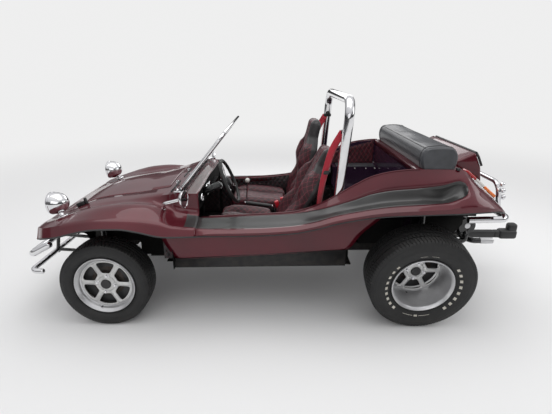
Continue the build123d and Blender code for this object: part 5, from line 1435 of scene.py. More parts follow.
def belts():
    """Red shoulder belts from the guides on the hoop to their anchors, and the buckles."""
    for label, side in (("left", 1), ("right", -1)):
        y = side * BELT_Y
        guide_x, pin_x = hoop_x(1.300), hoop_x(1.316)
        path = smooth_run([(guide_x + 0.022, y, 1.300), (-0.468, y, 1.194), (-0.429, y, 1.061),
                           (-0.402, y, 0.923), (-0.388, y, 0.800), (-0.372, y, 0.655)], 8)
        low_across = (0.55, side * 0.8, 0)
        bm, length = ribbon(path, (1, 0, 0.3), low_across, 0.046)
        piece = publish(f"belt_{label}", bm, RED_WEBBING, "webbing_red",
                        replaced=["seat_belts"] if side > 0 else (), wall=0.0024)
        aside = Vector((-0.004, -side * 0.007, 0))
        bm, length = ribbon([p + aside for p in path[1:]], (1, 0, 0.3), low_across, 0.044)
        piece = publish(f"belt_return_{label}", bm, RED_WEBBING, "webbing_red", wall=0.0024)
        fittings = block((guide_x - 0.030, y - 0.012, 1.286), (guide_x + 0.034, y + 0.006, 1.312),
                         0.006, 3)
        add_bm(fittings, drum((pin_x, y - side * 0.010, 1.318), (pin_x, y + side * 0.004, 1.318),
                              0.017, sides=28, round_off=0.004))
        add_bm(fittings, block((-0.448, y - 0.005, 1.017), (-0.390, y + 0.005, 1.043), 0.004))
        add_bm(fittings, block((-0.396, y - 0.010, 0.636), (-0.350, y + 0.005, 0.668), 0.006, 3))
        publish(f"belt_fittings_{label}", fittings, BLACK_PLASTIC, "black_panel")
    stalks, buckles = bmesh.new(), bmesh.new()
    for x, y in ((-0.105, 0.048), (-0.150, -0.048)):
        line = smooth_run([(x - 0.02, y, 0.462), (x - 0.012, y, 0.56), (x, y, 0.635)], 8)
        add_bm(stalks, pipe(line, 0.011, sides=12))
        add_bm(buckles, block((-0.014, -0.020, -0.027), (0.018, 0.020, 0.029), 0.007, 3),
               turned(16, "Y", (x, y, 0.655)))
    publish("buckle_stalks", stalks, BLACK_PLASTIC, "black_panel")
    publish("buckles", buckles, RED_PLASTIC, "webbing_red")


WHEEL_AT = Vector((0.240, 0.300, 0.912))
WHEEL_RIM = 0.158
RAKE = math.radians(22)


def steering_wheel():
    """Leather rim with a fine ripple, three drilled spokes and a plain boss."""
    turn = aimed(WHEEL_AT, (-math.cos(RAKE), 0, math.sin(RAKE)))
    rows = []
    for a in spread(0, 2 * math.pi, 96):
        ring = Vector((math.cos(a), math.sin(a), 0))
        grip = 0.0128 + 0.0006 * math.cos(a * 24)
        rows.append([ring * (WHEEL_RIM + grip * math.cos(b)) + Vector((0, 0, grip * 0.92 * math.sin(b)))
                     for b in spread(0, 2 * math.pi, 20)])
    rim = grid_through(rows)
    join_seams(rim, 1e-6)
    recalc(rim)
    publish("steering_rim", moved(rim, turn), WHEEL_HIDE, "steering_leather", body="steering",
            replaced=["steering_wheel"])
    metal = bmesh.new()
    for k in range(3):
        spoke = bmesh.new()
        for side in (-1, 1):
            rows = []
            for t in spread(0, 1, 10):
                r = 0.030 + t * (WHEEL_RIM - 0.036)
                half = 0.016 - 0.004 * t
                hole = 0.0085 * max(0.0, 1 - ((t * 3.2) % 1.0 - 0.5) ** 2 * 9)
                inner = hole if 0.08 < t < 0.95 else 0.0
                rows.append([(r, side * y, -0.016 * (1 - t) ** 2)
                             for y in (inner, (inner + half) / 2, half)])
            add_bm(spoke, grid_through(rows, outward=(0, 0, 1)))
        join_seams(spoke)
        add_bm(metal, spoke, turned(120 * k + 90, "Z"))
    publish("steering_spokes", moved(metal, turn), CHROME, "chrome", body="steering", wall=0.003)
    boss = bmesh.new()
    for low, high, r, rounding in ((-0.030, -0.006, 0.040, 0.006), (-0.008, 0.006, 0.031, 0.005)):
        add_bm(boss, drum((0, 0, low), (0, 0, high), r, sides=40, round_off=rounding))
    publish("steering_boss", moved(boss, turn), BLACK_PLASTIC, "black_panel", body="steering")


DASH_FACE_X = 0.4285


def dials():
    """Round instruments with bright bezels on the dashboard, and a row of knobs."""
    bezels, faces, marks, knobs = bmesh.new(), bmesh.new(), bmesh.new(), bmesh.new()
    for y, z, r in ((0.190, 0.822, 0.045), (0.095, 0.822, 0.034), (0.412, 0.822, 0.030)):
        turn = turned(90, "Z", (DASH_FACE_X, y, z))
        add_bm(bezels, spin_line([(r - 0.007, 0.002), (r - 0.004, 0.008), (r, 0.0075),
                                  (r + 0.002, 0.003), (r + 0.002, -0.002)], steps=40), turn)
        add_bm(faces, spin_line([(r - 0.006, 0.0025), (r * 0.2, 0.0015), (0.0, 0.0015)], steps=32),
               turn)
        for k in range(11):
            mark = block((-0.0006, 0, r * 0.74), (0.0006, 0.0012, r * 0.86))
            add_bm(marks, mark, turn @ turned(-130 + 26 * k, "Y", (0, 0.0022, 0)))
        needle = block((-0.0011, 0, -0.006), (0.0011, 0.0016, r * 0.66))
        add_bm(marks, needle, turn @ turned(-128, "Y", (0, 0.0040, 0)))
    for k in range(5):
        y = -0.02 - 0.055 * k
        add_bm(knobs, drum((0.437, y, 0.800), (0.412, y, 0.800), 0.010, 0.012, sides=24, round_off=0.002))
    publish("dial_bezels", bezels, CHROME, "chrome")
    publish("dial_faces", faces, DIAL_FACE, "black_panel")
    publish("dial_marks", marks, WHITE_LENS, "lamp_glass")
    publish("dash_knobs", knobs, BLACK_PLASTIC, "black_panel")


def quilted_sheet(corners, along_steps, across_steps, lift):
    """Quilted panel over four corners, given round its edge, its pillows rising along lift."""
    a, b, c, d = (Vector(p) for p in corners)
    lift = Vector(lift).normalized()
    width, height = (b - a).length, (d - a).length
    rows = []
    for v in spread(0, 1, along_steps):
        row = []
        for u in spread(0, 1, across_steps):
            p = a.lerp(b, u).lerp(d.lerp(c, u), v)
            edge = min(1.0, min(u, 1 - u) * width / 0.012, min(v, 1 - v) * height / 0.012)
            row.append(p + lift * (quilt_rise((u - 0.5) * width, v * height) * edge))
        rows.append(row)
    bm = grid_through(rows, outward=lift)
    uv = bm.loops.layers.uv.new("UVMap")
    axis_u, axis_v = (b - a).normalized(), (d - a).normalized()
    for face in bm.faces:
        for loop in face.loops:
            off = loop.vert.co - a
            loop[uv].uv = quilt_place(off.dot(axis_u) - width / 2, off.dot(axis_v))
    return bm


QUILT_FOOT_Z = 0.400


def quilted_panels():
    """Quilted lining of the cockpit walls, the footwell sides and the walls behind the seats."""
    dark = bmesh.new()
    for side in (1, -1):
        y = side * 0.5255
        rows = []
        for x in spread(0.420, -0.436, 150):
            edge_y, edge_z = cockpit_edge(x)
            knee = Vector((WALL_Y - 0.002, edge_z - 0.064))
            top = Vector((edge_y - 0.008, edge_z - 0.012))
            row, slope = [], (top - knee).normalized()
            for reach in spread(0, knee.y - QUILT_FOOT_Z + (top - knee).length, 52):
                over = reach - (knee.y - QUILT_FOOT_Z)
                place = Vector((knee.x, QUILT_FOOT_Z + reach)) if over < 0 else knee + slope * over
                out = Vector((1, 0)) if over < 0 else Vector((slope.y, -slope.x))
                place = place - out * quilt_rise(x, reach) * min(1.0, reach / 0.02)
                row.append(Vector((x, side * place.x, place.y)))
            rows.append(row)
        sheet = grid_through(rows, outward=(0, -side, 0))
        uv = sheet.loops.layers.uv.new("UVMap")
        for face in sheet.faces:
            for loop in face.loops:
                loop[uv].uv = quilt_place(loop.vert.co.x, loop.vert.co.z - QUILT_FOOT_Z)
        add_bm(dark, sheet)
        for front, rear, top_z, at_y, steps in ((-0.440, -0.598, 0.630, y, (36, 24)),
                                                (0.700, 0.440, 0.740, y * 0.985, (50, 44))):
            corners = [(x, at_y, z) for x, z in ((front, QUILT_FOOT_Z), (rear, QUILT_FOOT_Z),
                                                 (rear, top_z), (front, top_z))]
            add_bm(dark, quilted_sheet(corners, *steps, (0, -side, 0)))
    publish("dark_quilting", dark, BLACK_QUILT, "quilt_black", sharp=60)
    wine = bmesh.new()
    for side in (1, -1):
        y = side * 0.5915
        add_bm(wine, quilted_sheet([(-0.610, y, 0.852), (-0.994, y, 0.852), (-0.994, y, 1.062),
                                    (-0.610, y, 0.958)], 30, 60, (0, -side, 0)))
    publish("rear_quilting", wine, WINE_QUILT, "quilt_black", sharp=60)
    mats, screws = bmesh.new(), bmesh.new()
    for side in (1, -1):
        middle = side * 0.513
        add_bm(mats, block((-0.985, middle - 0.072, 0.8502), (-0.640, middle + 0.072, 0.8545),
                           0.002))
        for x in (-0.70, -0.80, -0.90, -0.98):
            add_bm(screws, drum((x, side * 0.430, 0.838), (x, side * 0.4265, 0.838), 0.0062,
                                0.0045, sides=12))
    publish("wheel_box_mats", mats, GREY_VINYL, "vinyl_grey")
    publish("wheel_box_screws", screws, WHITE_LENS, "lamp_glass")


TUNNEL_TOP_Z = 0.4603


def levers():
    """Gear lever, handbrake and pedals."""
    rods, grips, knob, rubber = bmesh.new(), bmesh.new(), bmesh.new(), bmesh.new()
    top = TUNNEL_TOP_Z
    gear = smooth_run([(0.150, 0, top + 0.016), (0.146, 0, 0.640), (0.135, 0, 0.825)], 8)
    add_bm(rods, pipe(gear, 0.0062, sides=14))
    gaiter = spin_line([(0.034, 0.0), (0.034, 0.006), (0.028, 0.010), (0.029, 0.018),
                        (0.022, 0.022), (0.023, 0.030), (0.016, 0.034), (0.016, 0.042),
                        (0.0085, 0.046), (0.0085, 0.052)], steps=36)
    add_bm(rubber, gaiter, turned(90, "X", (0.150, 0, top)))
    add_bm(knob, ball(0.0195, 28, 18), Matrix.Translation((0.135, 0, 0.838)))
    foot = Vector((-0.130, 0.008, top - 0.004))
    knee, end = Vector((-0.075, 0.045, 0.636)), Vector((0.158, 0.045, 0.668))
    add_bm(rubber, block(foot + Vector((-0.032, -0.020, 0.004)),
                         foot + Vector((0.034, 0.024, 0.030)), 0.006))
    add_bm(rods, pipe(bent_path([foot, knee, knee.lerp(end, 0.3)], [0.030], 8), 0.0095, sides=18))
    line = [knee.lerp(end, t) for t in spread(0.06, 0.97, 24)]
    radii = [0.0108 + 0.0034 * min(1.0, k / 4, (24 - k) / 2.0 + 0.4)
             + 0.0006 * math.cos(k * math.pi) for k in range(25)]
    add_bm(grips, pipe(line, radii, sides=20))
    add_bm(rods, drum(knee.lerp(end, 0.96), end, 0.0055, sides=16, round_off=0.001))
    for y in (0.130, 0.200, 0.270):
        add_bm(rods, pipe([(0.730, y, 0.344), (0.722, y, 0.44), (0.712, y, 0.530)], 0.0068, sides=12))
        add_bm(rubber, block((0.710, y - 0.012, 0.339), (0.748, y + 0.012, 0.360), 0.003))
        add_bm(rubber, block((0.700, y - 0.025, 0.500), (0.712, y + 0.025, 0.560), 0.004, 3))
        for k in range(5):
            z = 0.508 + 0.011 * k
            add_bm(rubber, block((0.6985, y - 0.021, z), (0.701, y + 0.021, z + 0.004), 0.0008))
    publish("lever_rods", rods, CHROME, "chrome", replaced=["driver_controls"])
    publish("handbrake_grip", grips, BLACK_PLASTIC, "black_panel")
    publish("gear_knob", knob, WHITE_LENS, "lamp_glass")
    publish("lever_rubbers", rubber, BLACK_PLASTIC, "black_panel")


def bolster_pad():
    """Long pad across the deck, drawn by its rounded sections with piping along its seams."""
    low_x, high_x, half, low_z, high_z = -1.252, -1.038, 0.594, 1.0625, 1.206
    rows = []
    for y in spread(-half, half, 96):
        end = clamp(1 - (half - abs(y)) / 0.024)
        shrink = 0.90 + 0.10 * math.sqrt(1 - end ** 2)
        swell = 0.004 * math.cos(y / half * math.pi * 2.5)
        cx, cz = (low_x + high_x) / 2, low_z + (high_z - low_z) * 0.42
        ring = []
        for x, z in ((high_x - 0.006, low_z), (high_x, low_z + 0.016), (high_x, high_z - 0.030),
                     (high_x - 0.018, high_z - 0.006), (high_x - 0.060, high_z + 0.001 + swell),
                     (low_x + 0.060, high_z + 0.001 + swell), (low_x + 0.018, high_z - 0.006),
                     (low_x, high_z - 0.030), (low_x, low_z + 0.016), (low_x + 0.006, low_z)):
            ring.append(Vector((cx + (x - cx) * shrink, y, max(low_z, cz + (z - cz) * shrink))))
        ring.append(ring[0])
        rows.append(smooth_run(ring, [5] * 9 + [8], corners=(0, 9)))
    bm = grid_through(rows)
    join_seams(bm)
    bmesh.ops.holes_fill(bm, edges=bm.edges[:], sides=0)
    recalc(bm)
    piece = publish("rear_bolster", bm, GREY_VINYL, "vinyl_grey", replaced=["rear_bolster"], sharp=50)
    seams = bmesh.new()
    for index in (15, 32):
        add_bm(seams, pipe([row[index] for row in rows[3:-3]], 0.0032, sides=8))
    for row in (rows[4], rows[-5]):
        add_bm(seams, pipe(row[2:44], 0.0032, sides=8))
    publish("bolster_piping", seams, PIPING, "vinyl_grey")


seat_pieces()
belts()
steering_wheel()
dials()
quilted_panels()
levers()
bolster_pad()


# Chrome, glass and lamps

UPPER_TUBE = (1.616, 0.455)    # x and z of the front tubes
LOWER_TUBE = (1.640, 0.325)
GUARD_HALF = 0.450


def bumpers():
    """Front tubes on their stays, and the rear tube and guard hoop on their brackets."""
    front = bmesh.new()
    for x, z, r, half, back, rise in ((*UPPER_TUBE, 0.0248, 0.580, 0.140, 0.075),
                                      (*LOWER_TUBE, 0.0188, 0.575, 0.080, 0.0)):
        add_bm(front, pipe(bent_path([(x - back, half, z + rise), (x, half, z), (x, -half, z),
                                      (x - back, -half, z + rise)], [0.05, 0.05], 12), r, sides=28))
        for side in (1, -1):
            add_bm(front, ball(r), Matrix.Translation((x - back, side * half, z + rise)))
    publish("front_tubes", front, CHROME, "chrome", replaced=["front_bumper"])
    stays = bmesh.new()
    face_x = AXLE_X + 0.160 + 0.0243
    for side in (-1, 1):
        y = side * 0.200
        (high_x, high_z), (low_x, low_z) = UPPER_TUBE, LOWER_TUBE
        add_bm(stays, drum((high_x, y, high_z), (low_x, y, low_z), 0.0135, sides=20))
        for x, z, back in ((*UPPER_TUBE, 0.420), (*LOWER_TUBE, 0.300)):
            add_bm(stays, drum((x, y, z), (face_x + 0.010, y, back), 0.0128, sides=20))
            add_bm(stays, block((face_x, y - 0.022, back - 0.022),
                                (face_x + 0.016, y + 0.022, back + 0.022), 0.003))
            add_bm(stays, drum((x - 0.012, y, z), (x + 0.002, y, z), 0.031 if z > 0.4 else 0.026,
                               sides=28, round_off=0.004))
    publish("front_stays", stays, BLACK_ENAMEL, "black_paint")
    rear = pipe(bent_path([(-1.380, 0.600, 0.726), (-1.650, 0.600, 0.732), (-1.650, -0.600, 0.732),
                           (-1.380, -0.600, 0.726)], [0.06, 0.06], 12), 0.022, sides=28)
    guard = bent_path([(-1.650, GUARD_HALF, 0.742), (-1.625, GUARD_HALF, 0.940),
                       (-1.625, -GUARD_HALF, 0.940), (-1.650, -GUARD_HALF, 0.742)],
                      [0.07, 0.07], 12)
    add_bm(rear, pipe(guard, 0.017, sides=26))
    publish("rear_tubes", rear, CHROME, "chrome", replaced=["rear_bumper"])
    brackets = bmesh.new()
    lean = 0.014 / 0.048
    for y in (-GUARD_HALF, GUARD_HALF):
        foot = [(-1.560 - 0.014 - 0.0008 + dz * lean, 0.790 + dz) for dz in (0.003, 0.036)]
        add_bm(brackets, plate([*foot, (-1.646, 0.768), (-1.656, 0.742), (-1.638, 0.732)],
                               y - 0.005, y + 0.005, 0.001))
        add_bm(brackets, block((-1.5785, y - 0.030, 0.796), (-1.5735, y + 0.030, 0.822), 0.002))
    add_bm(brackets, block((-1.658, -0.016, 0.4005), (-1.636, 0.016, 0.738), 0.003))
    publish("rear_brackets", brackets, BLACK_ENAMEL, "black_paint")


HOOP_HALF = 0.555
HOOP_TOP = (-0.565, 1.495)
HOOP_FOOT_Z = 0.641


def hoop():
    """Bright hoop behind the seats, with its foot plates, collars and bolts."""
    (top_x, top_z), foot_x = HOOP_TOP, hoop_x(HOOP_FOOT_Z)
    line = bent_path([(foot_x, HOOP_HALF, HOOP_FOOT_Z), (top_x, HOOP_HALF, top_z),
                      (top_x, -HOOP_HALF, top_z), (foot_x, -HOOP_HALF, HOOP_FOOT_Z)],
                     [0.110, 0.110], 16)
    bm = pipe(line, 0.0315, sides=36)
    for side in (-1, 1):
        y = side * 0.567
        add_bm(bm, block((-0.532, y - 0.039, 0.6364), (-0.442, y + 0.039, 0.6444), 0.003))
        add_bm(bm, drum((hoop_x(0.65), side * HOOP_HALF, 0.644),
                        (hoop_x(0.66), side * HOOP_HALF, 0.654), 0.040, 0.034, round_off=0.002))
        for dx in (-0.034, 0.034):
            for dy in (-0.026, 0.026):
                add_bm(bm, drum((-0.487 + dx, y + dy, 0.644), (-0.487 + dx, y + dy, 0.653), 0.0075,
                                sides=6))
    publish("hoop", bm, CHROME, "chrome", replaced=["roll_hoop"])


SCREEN_BASE = Vector((0.548, 0, 0.911))
SCREEN_TOP = Vector((0.233, 0, 1.295))
SCREEN_HALF = 0.555


def screen_loop(inset):
    """Rounded outline of the windscreen, inset from its outer edge, as a closed list of points."""
    up = (SCREEN_TOP - SCREEN_BASE).normalized()
    low, high = SCREEN_BASE + up * inset, SCREEN_TOP - up * inset
    side = Vector((0, SCREEN_HALF - inset, 0))
    foot, head = 0.040 - inset / 2, 0.075 - inset / 2
    return bent_path([low, low + side, high + side, high - side, low - side, low],
                     [foot, head, head, foot], 8)


def windscreen():
    """Screen frame, its rubber and feet, and the glass."""
    frame_bm = pipe(screen_loop(0.011), 0.0108, sides=16, capped=False)
    publish("screen_frame", frame_bm, CHROME, "chrome", replaced=["windscreen_frame"])
    rubber = pipe(screen_loop(0.024), 0.0055, sides=10, capped=False)
    add_bm(rubber, block((0.530, -0.545, 0.897), (0.572, 0.545, 0.9045), 0.003))
    publish("screen_rubber", rubber, BLACK_PLASTIC, "black_panel")
    feet = bmesh.new()
    for y in (0.535, -0.535):
        add_bm(feet, block((0.535, y - 0.017, 0.898), (0.590, y + 0.017, 0.906), 0.003))
        add_bm(feet, drum((0.570, y, 0.905), (0.562, y, 0.918), 0.0085, sides=6, round_off=0.001))
    publish("screen_feet", feet, CHROME, "chrome")
    loop = screen_loop(0.024)[:-1]
    bm = bmesh.new()
    bm.faces.new([bm.verts.new(p) for p in loop])
    made = bmesh.ops.extrude_face_region(bm, geom=bm.faces[:])["geom"]
    up = (SCREEN_TOP - SCREEN_BASE).normalized()
    bmesh.ops.translate(bm, vec=Vector((up.z, 0, -up.x)) * 0.0045, verts=only_verts(made))
    recalc(bm)
    publish("screen_glass", bm, CLEAR_GLASS, "clear_glass", replaced=["windscreen_glass"], sharp=30)


def wipers():
    """Two wipers at the foot of the screen."""
    arms, blades = bmesh.new(), bmesh.new()
    z = 0.8965
    for y in (-0.060, 0.330):
        add_bm(arms, drum((0.612, y, z), (0.612, y, z + 0.028), 0.0125, 0.010, sides=24, round_off=0.003))
        add_bm(arms, pipe([(0.612, y, z + 0.024), (0.595, y + 0.05, z + 0.031),
                           (0.574, y + 0.200, z + 0.034)], [0.0042, 0.0036, 0.0028], sides=10))
        add_bm(blades, block((0.5715, y + 0.06, z + 0.0355), (0.5765, y + 0.33, z + 0.0425), 0.0012))
        add_bm(blades, block((0.5730, y + 0.055, z + 0.0425), (0.5750, y + 0.335, z + 0.0485), 0.0005))
    publish("wiper_arms", arms, CHROME, "chrome", replaced=["wipers"])
    publish("wiper_blades", blades, BLACK_PLASTIC, "black_panel")


LAMP = Vector((1.424, 0.500, 0.808))


def lamps():
    """Chrome headlamps on short stems, with ribbed lenses."""
    bowl = bmesh.new()
    outline = [(0.0, -0.092), (0.010, -0.0915), (0.030, -0.086), (0.050, -0.072), (0.066, -0.050),
               (0.0745, -0.022), (0.0762, 0.000), (0.0762, 0.010), (0.0780, 0.012),
               (0.0780, 0.020), (0.0762, 0.026), (0.0725, 0.0295), (0.0700, 0.0285)]
    face_on = turned(-90, "Z", LAMP)
    add_bm(bowl, spin_line(outline, steps=56), face_on)
    foot = Vector((1.368, 0.528, skin_height(1.368, 0.528) + 0.002))
    add_bm(bowl, pipe(smooth_run([LAMP + Vector((-0.014, 0.004, -0.060)), (1.398, 0.512, 0.752), foot], 8),
                      [0.016 - 0.0002 * k for k in range(17)], sides=20))
    disc = spin_line([(0.0, 0.012), (0.016, 0.012), (0.026, 0.009), (0.032, 0.004), (0.033, 0.0),
                      (0.033, -0.003)], steps=40)
    add_bm(bowl, disc, turned(17, "Y", foot) @ turned(90, "X"))
    add_twin(bowl)
    publish("lamp_bowls", bowl, CHROME, "chrome", replaced=["headlamps"])
    rows = []
    for a in spread(0, 2 * math.pi, 72):
        row = []
        for t in spread(0, 1, 14):
            r = 0.0712 * t
            y, z = r * math.cos(a), r * math.sin(a)
            flute = 0.0009 * math.cos(y * 2 * math.pi / 0.0085) * min(1.0, (1 - t) * 6)
            row.append(LAMP + Vector((0.0480 - 0.019 * t * t + flute, y, z)))
        rows.append(row)
    lens = grid_through(rows, outward=(1, 0, 0))
    join_seams(lens)
    add_twin(lens)
    publish("lamp_lenses", lens, RIBBED_GLASS, "lamp_glass", replaced=["headlamp_lenses"], wall=0.003)
    back = spin_line([(0.068, 0.020), (0.050, -0.020), (0.020, -0.034), (0.0, -0.036)], steps=40)
    moved(back, face_on)
    bmesh.ops.reverse_faces(back, faces=back.faces[:])
    add_bm(back, ball(0.011, 20, 12), Matrix.Translation(LAMP + Vector((-0.012, 0, 0))))
    add_twin(back)
    publish("lamp_reflectors", back, CHROME, "chrome")


def mirror_pieces():
    """Round mirrors on bent arms."""
    arms, glass, backs = bmesh.new(), bmesh.new(), bmesh.new()
    head = Vector((0.500, 0.665, 0.888))
    knee = Vector((0.625, 0.640, 0.850))
    foot = Vector((0.655, 0.571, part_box("mirrors")[0][2] + 0.004))
    line = smooth_run([foot, knee + Vector((0.012, -0.016, -0.010)), knee, knee.lerp(head, 0.35),
                       head], 6)
    add_bm(arms, pipe(line, 0.0125, sides=18))
    add_bm(arms, drum(foot + Vector((0, 0, -0.004)), foot + Vector((0, 0.002, 0.006)), 0.017,
                      0.015, sides=28, round_off=0.002))
    facing = aimed(head, (-1, 0.2, 0), "Y", "Z")
    shell = spin_line([(0.0, -0.024), (0.020, -0.0225), (0.040, -0.0165), (0.053, -0.006),
                       (0.0575, 0.004), (0.0575, 0.0105), (0.0545, 0.0118), (0.0530, 0.0095)],
                      steps=48)
    add_bm(backs, shell, facing)
    disc = spin_line([(0.0535, 0.0090), (0.030, 0.0094), (0.0, 0.0096)], steps=48)
    add_bm(glass, disc, facing)
    for bm in (arms, glass, backs):
        add_twin(bm)
    publish("mirror_arms", arms, CHROME, "chrome", replaced=["mirrors"])
    publish("mirror_backs", backs, CHROME, "chrome")
    publish("mirror_glass", glass, CHROME, "chrome")


def tail_lamp_pieces():
    """Slim clusters on the sloping tail: clear and red above, amber below, in a chrome tray."""
    slope = math.atan2(1.062 - 0.838, -1.290 + 1.560)
    middle = Vector((-1.425, 0.545, 0.950))
    across, normal = Vector((0, 1, 0)), Vector((-math.sin(slope), 0, math.cos(slope)))
    down = across.cross(normal)
    place = Matrix.Translation(middle) @ Matrix((across, down, normal)).transposed().to_4x4()
    tray = moved(block((-0.045, -0.140, 0.0004), (0.045, 0.140, 0.012), 0.004, 3), place)
    add_twin(tray)
    publish("lamp_trays", tray, CHROME, "chrome", replaced=["tail_lamps"])
    for name, material, slot, low, high in (("lamp_amber", AMBER_LENS, "lamp_amber", -0.136, -0.030),
                                            ("lamp_red", RED_LENS, "lamp_amber", 0.052, 0.136),
                                            ("lamp_clear", WHITE_LENS, "lamp_glass", -0.028, 0.050)):
        lens = moved(block((-0.040, low, 0.010), (0.040, high, 0.032), 0.009, 4), place)
        add_twin(lens)
        publish(name, lens, material, slot)


def small_fittings():
    """Bright balls on the guard tube, exhaust tip, hitch cover, nose latch and deck catches."""
    balls = bmesh.new()
    for x, z in ((-1.652, 0.930), (-1.664, 0.886), (-1.672, 0.840)):
        for side in (1, -1):
            add_bm(balls, ball(0.0185, 24, 16), Matrix.Translation((x, side * 0.445, z)))
            add_bm(balls, drum((x, side * 0.445, z), (x + 0.034, side * 0.440, z - 0.004), 0.006,
                               sides=14))
    publish("guard_balls", balls, CHROME, "chrome")
    tip = spin_line([(0.0190, 0.000), (0.0222, 0.000), (0.0232, 0.004), (0.0232, 0.088),
                     (0.0222, 0.094), (0.0196, 0.094), (0.0190, 0.088), (0.0185, 0.020),
                     (0.0, 0.020)], steps=36)
    moved(tip, turned(90, "Z", (-1.6245, 0.330, 0.462)))
    for side in (1, -1):
        add_bm(tip, drum((-1.500, side * 0.3615, 0.592), (-1.500, side * 0.3660, 0.592), 0.021,
                         round_off=0.0015))
    publish("exhaust_tips", tip, TURNED_ALLOY, "chrome")
    cover = block((-2.087, -0.042, 0.346), (-1.940, 0.042, 0.424), 0.024, 4)
    add_bm(cover, block((-2.085, -0.034, 0.400), (-2.009, 0.034, 0.4765), 0.022, 4))
    add_bm(cover, block((-1.950, -0.030, 0.356), (-1.900, 0.030, 0.412), 0.012, 3))
    add_bm(cover, block((-1.905, -0.027, 0.357), (-1.300, 0.027, 0.411), 0.006, 2))
    publish("hitch_cover", cover, BLACK_PLASTIC, "black_panel")
    latch = block((-0.032, -0.014, -0.012), (0.032, 0.014, 0.018), 0.006, 3)
    add_bm(latch, block((-0.052, -0.010, -0.016), (-0.034, 0.010, 0.036), 0.005, 3))
    moved(latch, turned(20, "Y", (1.312, 0.366, skin_height(1.312, 0.366) + 0.010)))
    publish("nose_latches", latch, BLACK_PLASTIC, "black_panel")
    catch = block((-1.274, 0.594, 1.066), (-1.250, 0.618, 1.082), 0.004, 3)
    add_twin(catch)
    publish("deck_catches", catch, BLACK_PLASTIC, "black_panel")


bumpers()
hoop()
windscreen()
wipers()
lamps()
mirror_pieces()
tail_lamp_pieces()
small_fittings()

# The plainer metal keeps its CAD shape, with softened shading

# The transaxle and engine take the darkened castings, painted shade for the engine bay.
for name, material in (
        ("floor_pan", FRAME_BLACK), ("transaxle", SHADED_ENGINE_ALLOY), ("engine", SHADED_ENGINE_ALLOY),
        ("front_beam", FRAME_BLACK), ("front_arms", FRAME_BLACK), ("dampers", BLACK_ENAMEL),
        ("tie_rod", FRAME_BLACK), ("knuckle_left", FRAME_BLACK), ("knuckle_right", FRAME_BLACK),
        ("fuel_tank", FRAME_BLACK), ("exhaust", BLACK_ENAMEL), ("tow_hitch", FRAME_BLACK),
        ("footwell", INNER_BLACK), ("inner_rear", PLUM_GLOSS), ("dashboard", INNER_BLACK),
        ("seat_frames", BLACK_ENAMEL), ("steering_column", BLACK_ENAMEL)):
    dress(name, material)

# The tub behind the seats is plum inside and black outside

tub = bpy.data.objects["dressed_inner_rear"]
tub.data.materials.append(INNER_BLACK)
for face in tub.data.polygons:
    middle, normal = face.center, face.normal
    outward = normal.y * middle.y > 0 and abs(normal.y) > 0.6 and abs(middle.y) > 0.3
    if normal.z < -0.4 or normal.x < -0.6 and middle.x < -0.95 or outward and middle.z < 0.86:
        face.material_index = len(tub.data.materials) - 1


# Stage, light and camera

def soft_light(name, place, target, width, height, power):
    """Rectangular lamp aimed at a target."""
    data = bpy.data.lights.new(name, "AREA")
    data.shape = "RECTANGLE"
    data.size = width
    data.size_y = height
    data.energy = power
    lamp = add_object(name, data)
    lamp.location = Vector(place) + Vector((SHIFT, 0, 0))
    aim = Vector(target) - Vector(place)
    lamp.rotation_euler = aim.to_track_quat("-Z", "Y").to_euler()


BACKDROP = (0.86, 0.86, 0.86)


def pale_floor():
    """Pale floor that fades into the backdrop."""
    half = 30.0
    mesh = bpy.data.meshes.new("floor")
    mesh.from_pydata([(-half, -half, 0), (half, -half, 0), (half, half, 0), (-half, half, 0)], [],
                     [(0, 1, 2, 3)])
    floor = add_object("floor", mesh)
    tint, tree, _ = shader("Pale_Floor", Base_Color=(0.80, 0.80, 0.80, 1), Roughness=0.75,
                           Specular_IOR_Level=0.15)
    glow = node(tree, "ShaderNodeEmission", {"Color": (*BACKDROP, 1), "Strength": 1.0})
    away = node(tree, "ShaderNodeVectorMath", {0: where(tree)}, operation="LENGTH")
    fade = ramped(tree, away.outputs["Value"], 2.2, 9.0, interpolation_type="SMOOTHSTEP")
    shell = tree.nodes["Principled BSDF"].outputs[0]
    mix = node(tree, "ShaderNodeMixShader", {0: fade, 1: shell, 2: glow.outputs[0]})
    wire(tree, tree.nodes["Material Output"].inputs, {0: mix.outputs[0]})
    mesh.materials.append(tint)


# Greys of the sky from straight down (0) to straight up (1)
SKY_GREYS = ((0.44, 0.34), (0.49, 0.10), (0.53, 0.16), (0.60, 0.50), (0.75, 0.72))


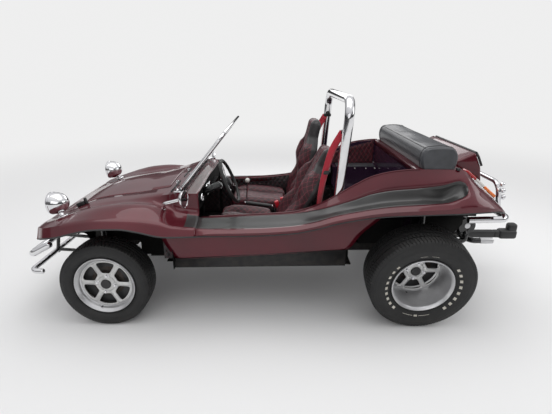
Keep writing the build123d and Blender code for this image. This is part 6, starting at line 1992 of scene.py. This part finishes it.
def bright_room():
    """Flat pale backdrop for the camera, and a sky with a darker horizon for the reflections."""
    world = bpy.data.worlds.new("Room")
    bpy.context.scene.world = world
    world.use_nodes = True
    tree = world.node_tree
    tree.nodes.clear()
    rays = tree.nodes.new("ShaderNodeLightPath").outputs
    way = split(tree, where(tree, "Generated"))
    ramp = node(tree, "ShaderNodeValToRGB", {0: maths(tree, "MULTIPLY_ADD", way["Z"], 0.5, 0.5)})
    ramp.color_ramp.interpolation = "EASE"
    stops = ramp.color_ramp.elements
    stops[0].position, stops[0].color = 0.0, (0.30, 0.30, 0.30, 1)
    stops[1].position, stops[1].color = 1.0, (1.0, 1.0, 1.0, 1)
    for spot, grey in SKY_GREYS:
        stops.new(spot).color = (grey, grey, grey * 1.02, 1)
    plot = maths(tree, "FLOOR", maths(tree, "MULTIPLY", maths(tree, "ARCTAN2", way["Y"], way["X"]), 2.6))
    height = node(tree, "ShaderNodeTexWhiteNoise", {"W": plot}, noise_dimensions="1D").outputs["Value"]
    top = maths(tree, "MULTIPLY_ADD", height, 0.42, 0.06)
    below = maths(tree, "MULTIPLY", maths(tree, "LESS_THAN", way["Z"], top),
                  maths(tree, "GREATER_THAN", way["Z"], 0.0))
    dim = maths(tree, "MULTIPLY_ADD", maths(tree, "MULTIPLY", below, rays["Is Glossy Ray"]), -0.72, 1.0)
    seen = node(tree, "ShaderNodeVectorMath", {0: ramp.outputs[0], "Scale": dim}, operation="SCALE")
    sky = node(tree, "ShaderNodeBackground", {"Color": seen.outputs[0], "Strength": 1.0})
    flat = node(tree, "ShaderNodeBackground", {"Color": (*BACKDROP, 1), "Strength": 1.0})
    direct = maths(tree, "MAXIMUM", rays["Is Camera Ray"], rays["Is Transmission Ray"])
    mix = node(tree, "ShaderNodeMixShader", {0: direct, 1: sky.outputs[0], 2: flat.outputs[0]})
    node(tree, "ShaderNodeOutputWorld", {0: mix.outputs[0]})


def photo_camera():
    """Camera where the photo was taken from."""
    yaw, pitch = math.radians(0.30), math.radians(18.594)
    data = bpy.data.cameras.new("Camera")
    data.lens = 26.41
    data.sensor_width = 36
    camera = add_object("Camera", data)
    camera.location = (-0.110 + SHIFT, 3.142, 1.6705)
    aim = Vector((math.sin(yaw) * math.cos(pitch), -math.cos(yaw) * math.cos(pitch), -math.sin(pitch)))
    camera.rotation_euler = aim.to_track_quat("-Z", "Y").to_euler()
    bpy.context.scene.camera = camera


pale_floor()
bright_room()
soft_light("Overhead", (0.2, 0.4, 4.2), (0.0, 0.0, 0.6), 4.5, 3.0, 60)
soft_light("Left_Window", (0.8, 4.4, 2.3), (0.0, 0.0, 0.5), 3.6, 1.6, 18)
soft_light("Far_Side", (-0.5, -3.6, 2.6), (0.0, 0.0, 0.6), 3.4, 1.6, 30)
soft_light("Rear_Side", (-4.2, 0.6, 2.4), (-0.6, 0.0, 0.7), 2.4, 1.4, 20)
photo_camera()
bpy.context.scene.view_settings.view_transform = "Standard"
